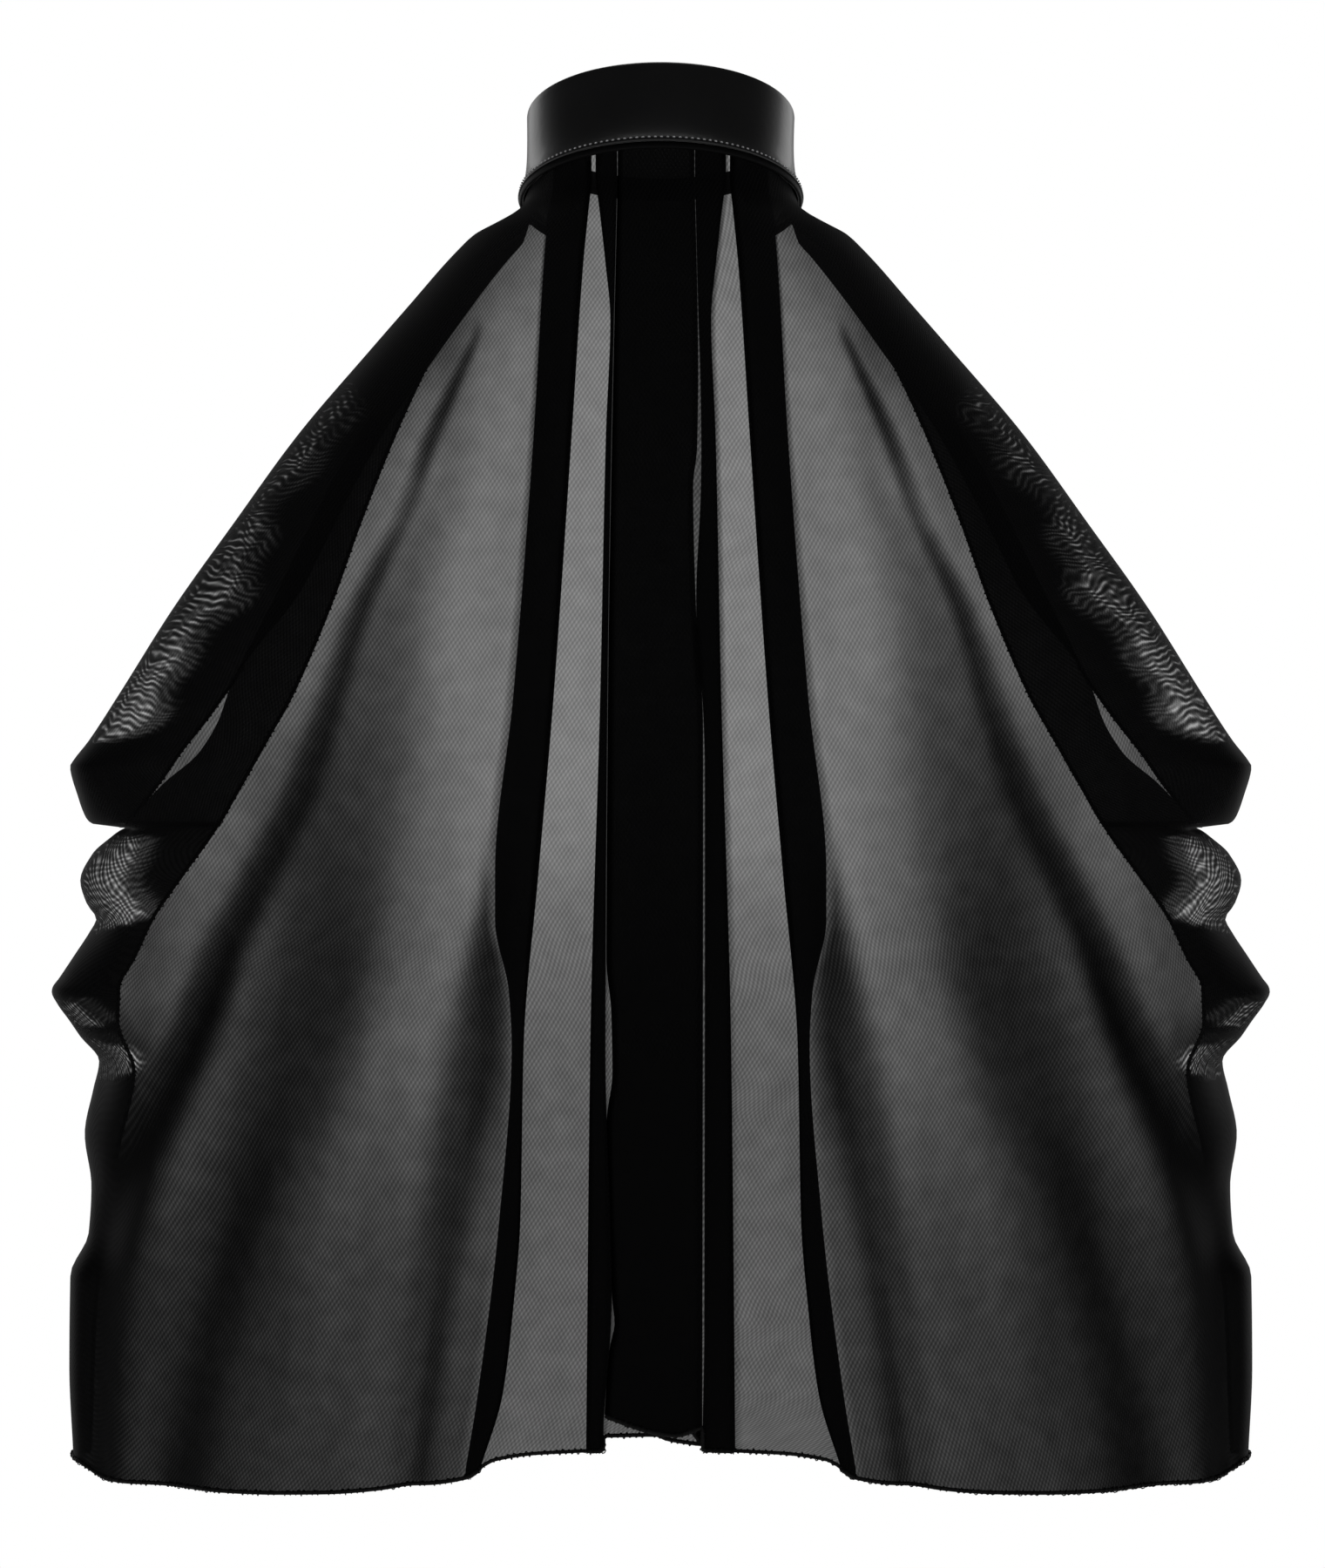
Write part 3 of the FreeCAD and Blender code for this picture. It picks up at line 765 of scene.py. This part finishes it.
def joined_mesh(name, parts):
    """One mesh from several lists of vertices and faces, given in millimetres."""
    vertices, faces = [], []
    for some, their_faces in parts:
        base = len(vertices)
        vertices.extend(some)
        faces.extend(tuple(base + i for i in face) for face in their_faces)
    mesh = bpy.data.meshes.new(name)
    mesh.from_pydata([tuple(np.asarray(v) * MM) for v in vertices], [], faces)
    mesh.shade_smooth()
    return linked(name, mesh)


def resampled(path, step):
    """Points every `step` millimetres along a path."""
    path = np.asarray(path, float)
    keep = np.concatenate([[True], np.linalg.norm(np.diff(path, axis=0), axis=1) > SAME_POINT])
    path = path[keep]
    length = np.concatenate([[0.0], np.cumsum(np.linalg.norm(np.diff(path, axis=0), axis=1))])
    places = np.linspace(0, length[-1], max(FEWEST_POINTS, int(length[-1] / step) + 1))
    return np.stack([np.interp(places, length, path[:, axis]) for axis in range(3)], axis=1)


BEAD_RADIUS = 1.0
BEAD_STEP = 2.2
BEAD_SIDES = 6
LOOP_RADIUS = 0.32
LOOP_SIDES = 4
LOOP_PITCH = 3.0
LOOP_STEPS = 8
LOOP_GAP = 0.12
# size, rate and start of each wave that makes the loops uneven
LOOP_WAVES = ((0.25, 0.37, 0.0), (0.15, 0.113, 1.0))


def overlock_parts(path):
    """Overlocked edge: a soft bead with a thread wound round it."""
    bead = tube_parts(resampled(path, BEAD_STEP), BEAD_RADIUS, BEAD_SIDES)
    fine = resampled(path, LOOP_PITCH / LOOP_STEPS)
    ahead = directions(fine)
    side = np.cross(ahead, [0.0, 0.0, 1.0])
    short = np.linalg.norm(side, axis=1) < LOOP_UPRIGHT
    side[short] = np.cross(ahead[short], [0.0, 1.0, 0.0])
    side /= np.linalg.norm(side, axis=1)[:, None] + TINY
    up = np.cross(side, ahead)
    turn = 2 * math.pi * np.arange(len(fine)) / LOOP_STEPS
    uneven = 1.0 + sum(size * np.sin(turn * rate + start) for size, rate, start in LOOP_WAVES)
    reach = (BEAD_RADIUS + LOOP_GAP) * uneven
    loops = fine + reach[:, None] * (np.cos(turn)[:, None] * side + np.sin(turn)[:, None] * up)
    return [bead, tube_parts(loops, LOOP_RADIUS, LOOP_SIDES)]


# ---------------------------------------------------------------- materials

class Wiring:
    """Shader nodes of one material or world."""

    def __init__(self, owner):
        owner.use_nodes = True
        self.tree = owner.node_tree
        self.tree.nodes.clear()

    def add(self, kind, inputs=None, **settings):
        """New node; each input is a value or another node's output socket."""
        node = self.tree.nodes.new("ShaderNode" + kind)
        for name, value in settings.items():
            setattr(node, name, value)
        for name, value in (inputs or {}).items():
            if isinstance(value, bpy.types.NodeSocket):
                self.tree.links.new(value, node.inputs[name])
            else:
                node.inputs[name].default_value = value
        return node

    def math(self, operation, *inputs):
        """Result of an operation on numbers and sockets."""
        return self.add("Math", dict(enumerate(inputs)), operation=operation).outputs[0]

    def noise(self, place, scale, detail):
        """Noise at a place."""
        return self.add("TexNoise", {"Vector": place, "Scale": scale, "Detail": detail}).outputs["Fac"]

    def grain(self, scale, detail, stretch=(1, 1, 1)):
        """Noise in the row frame, in metres, stretched along the axes."""
        place = self.add("TexCoord").outputs["Object"]
        stretched = self.add("Mapping", {"Vector": place, "Scale": stretch}).outputs[0]
        return self.noise(stretched, scale, detail)

    def colours(self, dark, light, share):
        """Colour between a dark and a light one."""
        inputs = {"A": (*dark, 1), "B": (*light, 1), "Factor": share}
        return self.add("Mix", inputs, data_type="RGBA").outputs["Result"]

    def relief(self, height, distance, strength):
        """Normal of a bumpy surface."""
        inputs = {"Height": height, "Distance": distance, "Strength": strength}
        return self.add("Bump", inputs).outputs["Normal"]


# share of the light that one layer lets through, and the net's size and contrast
OPEN_SHARE = 0.20
WEAVE_PERIOD = 2.2
WEAVE_SLANT = 0.62
WEAVE_SHARES = (0.65, 0.35)
WEAVE_CONTRAST = 0.18
MOIRE_PERIOD = 4.0
MOIRE_SWAY = 30.0
MOIRE_SWAY_SCALE = 0.03
MOIRE_CONTRAST = 0.6
CLOUD_SCALE = 0.09
THINNEST_CLOUD = 0.88
CLOUD_CONTRAST = 0.24
GRAZING_LIMIT = 0.93


def weave_pattern(wiring):
    """Diamond net, from -1 in the holes to 1 on the threads, and the flat place and height."""
    flat = wiring.add("UVMap", uv_map="Flat").outputs[0]
    across, down, _ = wiring.add("SeparateXYZ", {0: flat}).outputs
    slanted = wiring.math("MULTIPLY", down, WEAVE_SLANT)
    waves = []
    for operation, part in zip(("ADD", "SUBTRACT"), WEAVE_SHARES):
        along = wiring.math(operation, across, slanted)
        wave = wiring.math("SINE", wiring.math("MULTIPLY", along, 2 * math.pi / WEAVE_PERIOD))
        waves.append(wiring.math("MULTIPLY", wave, part))
    return wiring.math("ADD", *waves), flat, down


def moire_lines(wiring, flat, down):
    """Wavy lines where loose layers of mesh lie on each other; nothing elsewhere."""
    sway = wiring.noise(flat, MOIRE_SWAY_SCALE, 2.0)
    bent = wiring.math("MULTIPLY_ADD", sway, MOIRE_SWAY, down)
    wave = wiring.math("SINE", wiring.math("MULTIPLY", bent, 2 * math.pi / MOIRE_PERIOD))
    loose = wiring.add("Attribute", attribute_name="loose").outputs["Fac"]
    return wiring.math("MULTIPLY_ADD", wiring.math("MULTIPLY", wave, loose), MOIRE_CONTRAST, 1.0)


def sheer_mesh_material():
    """Black net: each layer lets a fifth of the light through, less where it turns away."""
    material = bpy.data.materials.new("sheer_black_mesh")
    wiring = Wiring(material)
    weave, flat, down = weave_pattern(wiring)

    cloud = wiring.noise(flat, CLOUD_SCALE, 3.0)
    cloudy = wiring.math("MULTIPLY_ADD", cloud, CLOUD_CONTRAST, THINNEST_CLOUD)
    woven = wiring.math("MULTIPLY_ADD", weave, WEAVE_CONTRAST, 1.0)
    # the gathering attribute also carries painted shade: it thickens the mesh along fold valleys, beside
    # the knife pleat and towards the hem
    thickness = wiring.add("Attribute", attribute_name="gather_and_shade").outputs["Fac"]
    for uneven in (woven, cloudy, moire_lines(wiring, flat, down)):
        thickness = wiring.math("MULTIPLY", thickness, uneven)
    facing = wiring.add("LayerWeight", {"Blend": 0.5}).outputs["Facing"]
    cosine = wiring.math("SUBTRACT", 1.0, wiring.math("MINIMUM", facing, GRAZING_LIMIT))
    path = wiring.math("DIVIDE", thickness, cosine)
    alpha = wiring.math("SUBTRACT", 1.0, wiring.math("POWER", OPEN_SHARE, path))

    lifted = wiring.math("MULTIPLY_ADD", weave, 0.5, 0.5)
    shader = wiring.add("BsdfPrincipled", {
        "Base Color": wiring.colours((0.0012, 0.0012, 0.0013), (0.0036, 0.0036, 0.0039), lifted),
        "Roughness": 0.7,
        "Specular IOR Level": 0.03,
        "Alpha": alpha,
        "Normal": wiring.relief(weave, 0.0002, 0.25),
    })
    wiring.add("OutputMaterial", {"Surface": shader.outputs[0]})
    return material


GLOSS_SCALE = 30
TONE_SHARE = 0.2


def surface_material(name, dark, light, roughness, grain, height, coat=0.0, metal=0.0,
                     stretch=(1, 1, 1), specular=0.5):
    """Opaque material with colour variation, uneven gloss and a fine relief."""
    material = bpy.data.materials.new(name)
    wiring = Wiring(material)
    low, high = roughness
    shader = wiring.add("BsdfPrincipled", {
        "Base Color": wiring.colours(dark, light, wiring.grain(grain * TONE_SHARE, 4, stretch)),
        "Roughness": wiring.math("MULTIPLY_ADD", wiring.grain(GLOSS_SCALE, 3), high - low, low),
        "Metallic": metal,
        "Coat Weight": coat,
        "Coat Roughness": 0.12,
        "Specular IOR Level": specular,
        "Normal": wiring.relief(wiring.grain(grain, 5, stretch), height, 0.35),
    })
    wiring.add("OutputMaterial", {"Surface": shader.outputs[0]})
    return material


MESH = sheer_mesh_material()
LEATHER = surface_material(
    "glossy_black_leather", dark=(0.0016, 0.0016, 0.0018), light=(0.004, 0.004, 0.0043),
    roughness=(0.34, 0.46), grain=260, height=0.0002, coat=0.1, specular=0.36,
)
BINDING = surface_material(
    "matt_black_binding", dark=(0.0012, 0.0012, 0.0013), light=(0.003, 0.003, 0.0032),
    roughness=(0.6, 0.75), grain=900, height=0.0001, specular=0.1,
)
LINING = surface_material(
    "black_lining", dark=(0.006, 0.006, 0.0063), light=(0.012, 0.012, 0.0125),
    roughness=(0.5, 0.65), grain=700, height=0.0002,
)
INTERFACING = surface_material(
    "stiff_interfacing", dark=(0.015, 0.015, 0.015), light=(0.03, 0.03, 0.03),
    roughness=(0.8, 0.95), grain=1500, height=0.0002,
)
OVERLOCK = surface_material(
    "overlock_thread", dark=(0.002, 0.002, 0.002), light=(0.008, 0.008, 0.008),
    roughness=(0.6, 0.8), grain=2500, height=0.0001, specular=0.2,
)
# painted glint: the thread is dark, but it is coloured pale grey so that the stitches show as glints on
# the black leather
THREAD_PAINTED_GLINT = surface_material(
    "sewing_thread", dark=(0.25, 0.25, 0.255), light=(0.55, 0.55, 0.56),
    roughness=(0.35, 0.5), grain=3500, height=0.0001, stretch=(1, 1, 4),
)
SNAP_METAL = surface_material(
    "black_lacquered_metal", dark=(0.01, 0.01, 0.011), light=(0.02, 0.02, 0.022),
    roughness=(0.2, 0.32), grain=900, height=0.00005, coat=0.4, metal=0.6,
)


# ---------------------------------------------------------------- cloth pieces

def first_row_below(height):
    """Index of the first row of cloth below a height."""
    return int(np.argmax(LEVELS < height)) + TOP_ROWS


middle_grid = Grid(middle_columns())
side_grid = Grid(side_columns())
band_grid = Grid([band_column(share) for share in spread(BAND_COLUMNS)])

# the cloth over the arms is cut at the notch; the band along the front edge ends there
notch_row = first_row_below(NOTCH_HEIGHT)
arm_start = side_grid.points.shape[1] - ARM_COLUMNS - 1
side_grid.skip[notch_row - 1, arm_start:] = True
band_grid.skip[notch_row:, :] = True

cape_back = cloth_object("cape_back_mesh", [middle_grid])
cape_right = cloth_object("cape_side_right_mesh", [side_grid, band_grid])
cape_left = cloth_object("cape_side_left_mesh", [side_grid.mirrored(), band_grid.mirrored()])
piece(cape_back, "sheer_mesh", MESH, "cape_back")
piece(cape_right, "sheer_mesh", MESH, "cape_side_right")
piece(cape_left, "sheer_mesh", MESH, "cape_side_left")


# ---------------------------------------------------------------- overlocked edges

HEM_THREAD_DROP = 0.6
SLIT_THREAD_RISE = 16.0


def edge_piece(name, paths, node):
    """Overlock thread along one or more edges of the cloth."""
    parts = [part for path in paths for part in overlock_parts(path)]
    return piece(joined_mesh(name, parts), "overlock_thread", OVERLOCK, node)


def mirrored_path(path):
    """The same path on the other side."""
    return path * np.array([-1.0, 1.0, 1.0])


hem_drop = np.array([0.0, 0.0, -HEM_THREAD_DROP])
hem_back_path = middle_grid.points[-1] + hem_drop
hem_side_path = side_grid.points[-1] + hem_drop
front_edge_low = side_grid.points[notch_row:, -1]
front_edge_high = band_grid.points[:notch_row, -1]
slit_edge = side_grid.points[first_row_below(SLIT_TOP + SLIT_THREAD_RISE):notch_row, -1]
front_paths = [np.concatenate([front_edge_high, front_edge_low]), slit_edge]
front_left_paths = [mirrored_path(path) for path in front_paths]

hem_back = edge_piece("hem_back_thread", [hem_back_path], "hem_back")
hem_right = edge_piece("hem_right_thread", [hem_side_path], "hem_right")
hem_left = edge_piece("hem_left_thread", [mirrored_path(hem_side_path)], "hem_left")
front_right = edge_piece("front_edge_right_thread", front_paths, "front_edge_right")
front_left = edge_piece("front_edge_left_thread", front_left_paths, "front_edge_left")


# ---------------------------------------------------------------- collar

COLLAR_STEPS = 160
COLLAR_SWELL = 0.25
SWELL_REACH = 14.0
SKIN = 1.1
ROLL = 1.6
WAIST = 0.5
OUTSIDE_STEPS = 14
ROLL_STEPS = 9
LIP_STEPS = 128
LIP_OUT = 1.5
LIP_GAP = 0.1
LIP_HALF_WIDTH = 1.0
LIP_DROP = 2.6
LIP_ROUND = 0.9
LIP_ROUND_STEPS = 6


def on_collar(angle, radius, height):
    """Place of a point `angle` degrees round the leaning collar from the throat towards +X."""
    turn = math.radians(angle)
    return tilted(radius * math.sin(turn), radius * math.cos(turn), height)


def ring_mesh(name, outline, steps, swell):
    """Closed outline of (radius, height) turned round the collar's axis, open at the throat."""
    vertices = []
    for step in range(steps + 1):
        angle = COLLAR_GAP_ANGLE / 2 + (360 - COLLAR_GAP_ANGLE) * step / steps
        turn = math.radians(angle)
        for radius, height in outline:
            out = swell * math.sin(3 * turn + height / SWELL_REACH) * math.sin(turn / 2)
            vertices.append(on_collar(angle, radius + out, height))
    faces = [(first, *reversed(rest)) for first, *rest in sleeve_faces(steps + 1, len(outline))]
    return joined_mesh(name, [(vertices, faces)])


def collar_flare(above_edge):
    """How far the collar spreads, at a height above its lower edge."""
    return FLARE_WIDTH * math.exp(-above_edge / FLARE_HEIGHT)


def collar_outline():
    """Section of the outer skin: up the outside, over the rolled top and down the inside."""
    bottom, shoulder = -COLLAR_HALF_HEIGHT, COLLAR_HALF_HEIGHT - ROLL
    outside = []
    for step in range(OUTSIDE_STEPS + 1):
        rise = (shoulder - bottom) * step / OUTSIDE_STEPS
        waist = WAIST * math.sin(math.pi * rise / (2 * COLLAR_HALF_HEIGHT))
        outside.append((COLLAR_RADIUS + collar_flare(rise) - waist, bottom + rise))
    roll = []
    for step in range(1, ROLL_STEPS):
        turn = math.pi * step / ROLL_STEPS
        radius = NECK_RADIUS + COLLAR_WALL / 2 * (1 + math.cos(turn))
        roll.append((radius, shoulder + ROLL * math.sin(turn)))
    inside = [
        (NECK_RADIUS + 0.05, shoulder),
        (NECK_RADIUS + SKIN, shoulder - 0.1),
        (COLLAR_RADIUS - WAIST - SKIN, shoulder - 0.3),
    ]
    inside += [(radius - SKIN, height) for radius, height in reversed(outside[:-1])]
    return outside + roll + inside


def binding_outline():
    """Section of the folded lip: a narrow loop, rounded below."""
    top = -COLLAR_HALF_HEIGHT - LIP_GAP
    middle = NECKLINE_RADIUS + LIP_OUT
    outline = []
    for step in reversed(range(LIP_ROUND_STEPS + 1)):
        turn = math.pi * step / LIP_ROUND_STEPS
        height = top - LIP_DROP - LIP_ROUND * math.sin(turn)
        outline.append((middle + LIP_HALF_WIDTH * math.cos(turn), height))
    return outline + [(middle + LIP_HALF_WIDTH, top), (middle - LIP_HALF_WIDTH, top)]


collar_skin = ring_mesh("collar_skin", collar_outline(), COLLAR_STEPS, COLLAR_SWELL)
piece(collar_skin, "glossy_leather", LEATHER, "collar_facing")
binding = ring_mesh("neck_binding_lip", binding_outline(), LIP_STEPS, 0.0)
piece(binding, "glossy_leather", BINDING, "neck_binding")


# ---------------------------------------------------------------- stitches of the collar

STITCH_STEPS = 4
STITCH_SIDES = 6
# how far a stitch stands out in its middle and drops at its ends, in thicknesses
STITCH_RISE = 0.75
STITCH_FALL = 0.9
ROW_PITCH = 3.0
ROW_LENGTH = 1.0
ROW_THICKNESS = 0.4
ROW_ABOVE_EDGE = 2.4
ROW_OUT = 0.2
ROW_START = 3.0


def stitch(angle, radius, height, turn, climb, thickness):
    """Short bowed tube that reaches `turn` degrees and `climb` millimetres each way."""
    path = []
    for step in range(STITCH_STEPS + 1):
        share = 2 * step / STITCH_STEPS - 1
        out = radius + thickness * (STITCH_RISE - STITCH_FALL * share * share)
        path.append(on_collar(angle + turn * share, out, height + climb * share))
    return tube_parts(path, thickness, STITCH_SIDES)


def collar_stitch_parts():
    """Row of stitches just above the collar's lower edge."""
    radius = COLLAR_RADIUS + collar_flare(ROW_ABOVE_EDGE) + ROW_OUT
    height = -COLLAR_HALF_HEIGHT + ROW_ABOVE_EDGE
    first = COLLAR_GAP_ANGLE / 2 + ROW_START
    pitch_angle = math.degrees(ROW_PITCH / COLLAR_RADIUS)
    turn = math.degrees(ROW_LENGTH / 2 / radius)
    count = int((360 - 2 * first) / pitch_angle)
    angles = [first + i * pitch_angle for i in range(count)]
    return [stitch(angle, radius, height, turn, 0.0, ROW_THICKNESS) for angle in angles]


stitch_row = joined_mesh("collar_stitch_row", collar_stitch_parts())
piece(stitch_row, "sewing_thread", THREAD_PAINTED_GLINT, "collar_stitching")


# ---------------------------------------------------------------- closure strap

TAB_MIDDLE = 14.0
TAB_HALF_HEIGHT = 6.5
TAB_BASE_END = -64.0
TAB_HINGE_ANGLE = -44.0
TAB_TIP = 59.0
TIP_ROUND = 5.0
TAB_RISE = 2.0
TAB_RISE_ANGLE = 6.0
TAB_STEPS = 128
EDGE_STEPS = 6

STRAP_INNER = COLLAR_RADIUS + 0.15
STRAP_PADDING = 0.9
STRAP_THICKNESS = 1.7
LINING_THICKNESS = 0.95
LINING_INSET = 0.4
LINING_END_INSET = 0.3

BOX_INSET = 2.5
BOX_START = 2.5
BOX_END = 4.5
BOX_PITCH = 3.0
BOX_LENGTH = 2.0
BOX_THICKNESS = 0.28


def tab_section(half_height, thickness):
    """Closed outline across the strap, (out from its inner face, height), with rounded edges."""
    edge = thickness / 2
    outline = []
    for centre, start in ((half_height - edge, 0.0), (-half_height + edge, math.pi)):
        for step in range(EDGE_STEPS + 1):
            turn = start + math.pi * step / EDGE_STEPS
            outline.append((edge + edge * math.cos(turn), centre + edge * math.sin(turn)))
    return outline


def tab_strap(name, inner, half_height, thickness, first, last):
    """Strap bent round the collar, which rises past its sewn end and has a rounded tip."""
    rise_from, rise_to = TAB_HINGE_ANGLE - TAB_RISE_ANGLE, TAB_HINGE_ANGLE + TAB_RISE_ANGLE
    vertices = []
    for step in range(TAB_STEPS + 1):
        angle = first + (last - first) * step / TAB_STEPS
        inset = max(0.0, TIP_ROUND - math.radians(last - angle) * inner)
        height = half_height - TIP_ROUND + math.sqrt(max(0.0, TIP_ROUND**2 - inset**2))
        rise = TAB_RISE * float(ramp(angle, rise_from, rise_to))
        for out, up in tab_section(height, thickness):
            vertices.append(on_collar(angle, inner + rise + out, TAB_MIDDLE + up))
    count = len(vertices) // (TAB_STEPS + 1)
    return joined_mesh(name, [(vertices, sleeve_faces(TAB_STEPS + 1, count))])


def strap_piece(strap, slot, material, *nodes):
    """Dress one layer of the strap, bake its placement into its mesh and hide the CAD parts it stands for.
    """
    strap.data.materials.append(material)
    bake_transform(strap)
    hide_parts(*nodes)


strap = tab_strap("tab_strap", STRAP_INNER + STRAP_PADDING, TAB_HALF_HEIGHT, STRAP_THICKNESS,
                  TAB_BASE_END, TAB_TIP)
strap_piece(strap, "glossy_leather", LEATHER, "tab_base", "tab_facing", "tab_stiffener")
strap_back = tab_strap("tab_strap_lining", STRAP_INNER, TAB_HALF_HEIGHT - LINING_INSET, LINING_THICKNESS,
                       TAB_BASE_END + LINING_END_INSET, TAB_TIP - LINING_END_INSET)
strap_piece(strap_back, "lining_leather", LINING, "tab_lining")


def tab_stitch_parts():
    """Box of stitches that holds the sewn end down."""
    radius = STRAP_INNER + STRAP_PADDING + STRAP_THICKNESS
    half = TAB_HALF_HEIGHT - BOX_INSET
    first, last = TAB_BASE_END + BOX_START, TAB_HINGE_ANGLE - BOX_END
    pitch_angle = math.degrees(BOX_PITCH / radius)
    turn = math.degrees(BOX_LENGTH / 2 / radius)
    across = int((last - first) / pitch_angle)
    parts = []
    for height in (TAB_MIDDLE - half, TAB_MIDDLE + half):
        for i in range(across):
            angle = first + (i + 0.5) * pitch_angle
            parts.append(stitch(angle, radius, height, turn, 0.0, BOX_THICKNESS))
    for angle in (first, first + across * pitch_angle):
        for i in range(int(2 * half / BOX_PITCH)):
            height = TAB_MIDDLE - half + (i + 0.5) * BOX_PITCH
            parts.append(stitch(angle, radius, height, 0.0, BOX_LENGTH / 2, BOX_THICKNESS))
    return parts


piece(joined_mesh("tab_stitch_box", tab_stitch_parts()), "sewing_thread", THREAD_PAINTED_GLINT, "tab_stitching")


# ---------------------------------------------------------------- materials of kept CAD nodes

def dress(node, material):
    """Give a CAD node its material."""
    obj = frame["nodes"][node]
    obj.data.materials.clear()
    obj.data.materials.append(material)


dress("collar_lining", LINING)
dress("collar_stiffener", INTERFACING)
for node in ("snap_caps", "snap_sockets", "snap_studs", "snap_posts"):
    dress(node, SNAP_METAL)


# ---------------------------------------------------------------- studio

FLOOR_DROP = 1.45
FLOOR_FADE = (1.5, 4.2)
FLOOR_HALF_SIDE = 25.0
CAMERA_DISTANCE = 2.4
CAMERA_HEIGHT = -0.3276
CAMERA_SIDE = 0.0009
# height of what the camera takes in at the collar's distance
VIEW_HEIGHT = 0.8208
SENSOR = 36.0
CEILING_HEIGHT = 3.2
CEILING_SIZE = (4.0, 4.0)


def make_floor():
    """Wide pale floor, as far below the collar as when the cape is worn."""
    half = FLOOR_HALF_SIDE
    corners = [(-half, -half), (half, -half), (half, half), (-half, half)]
    mesh = bpy.data.meshes.new("studio_floor")
    mesh.from_pydata([(x, y, 0.0) for x, y in corners], [], [(0, 1, 2, 3)])
    floor = linked("studio_floor", mesh)
    floor.location.z = -FLOOR_DROP
    material = bpy.data.materials.new("pale_floor")
    wiring = Wiring(material)
    shader = wiring.add("BsdfPrincipled", {"Base Color": (0.9, 0.9, 0.9, 1), "Roughness": 0.9})
    glow = wiring.add("Emission")
    place = wiring.add("TexCoord").outputs["Object"]
    reach = wiring.add("VectorMath", {0: place}, operation="LENGTH").outputs["Value"]
    near, far = FLOOR_FADE
    limits = {"Value": reach, "From Min": near, "From Max": far}
    fade = wiring.add("MapRange", limits, interpolation_type="SMOOTHSTEP").outputs[0]
    mix = wiring.add("MixShader", {0: fade, 1: shader.outputs[0], 2: glow.outputs[0]})
    wiring.add("OutputMaterial", {"Surface": mix.outputs[0]})
    mesh.materials.append(material)


def make_world():
    """White surroundings to the eye; a soft dimmer light for everything that reflects it."""
    world = bpy.data.worlds.new("white_studio")
    wiring = Wiring(world)
    seen = wiring.add("Background", {"Color": (1, 1, 1, 1)})
    light = wiring.add("Background", {"Color": (1, 1, 1, 1), "Strength": 0.05})
    to_eye = wiring.add("LightPath").outputs["Is Camera Ray"]
    mix = wiring.add("MixShader", {0: to_eye, 1: light.outputs[0], 2: seen.outputs[0]})
    wiring.add("OutputWorld", {"Surface": mix.outputs[0]})
    bpy.context.scene.world = world


def make_light(name, place, aim, size, power, mirrored=True):
    """Soft rectangular light, seen in gloss only where it is `mirrored`."""
    lamp = bpy.data.lights.new(name, "AREA")
    lamp.shape = "RECTANGLE"
    lamp.size, lamp.size_y = size
    lamp.energy = power
    obj = bpy.data.objects.new(name, lamp)
    obj.location = place
    obj.rotation_euler = (Vector(aim) - Vector(place)).to_track_quat("-Z", "Y").to_euler()
    obj.visible_camera = False
    obj.visible_glossy = mirrored
    bpy.context.scene.collection.objects.link(obj)


def make_lights():
    """A softbox at either side of the front, one above, and a wide wash from the ceiling."""
    for side in (-1, 1):
        place = (side * 1.4, 1.9, 0.1)
        make_light(f"side_softbox{side}", place, aim=(0, 0, -0.1), size=(1.1, 1.8), power=10)
    make_light("top_softbox", (0, 0.6, 1.9), aim=(0, 0, -0.2), size=(1.2, 0.8), power=12)
    ceiling, floor = (0, 0, CEILING_HEIGHT), (0, 0, -FLOOR_DROP)
    make_light("floor_wash", ceiling, aim=floor, size=CEILING_SIZE, power=36, mirrored=False)
    make_light("ceiling_glow", ceiling, aim=floor, size=CEILING_SIZE, power=24)


def make_camera():
    """Level camera behind the wearer, half way down the cape."""
    lens = bpy.data.cameras.new("photo_camera")
    lens.sensor_width = SENSOR
    lens.lens = SENSOR * CAMERA_DISTANCE / VIEW_HEIGHT
    camera = bpy.data.objects.new("photo_camera", lens)
    camera.location = (CAMERA_SIDE, -CAMERA_DISTANCE, CAMERA_HEIGHT)
    camera.rotation_euler = (math.pi / 2, 0, 0)
    bpy.context.scene.collection.objects.link(camera)
    bpy.context.scene.camera = camera


make_floor()
make_world()
make_lights()
make_camera()
bpy.context.scene.view_settings.view_transform = "Standard"
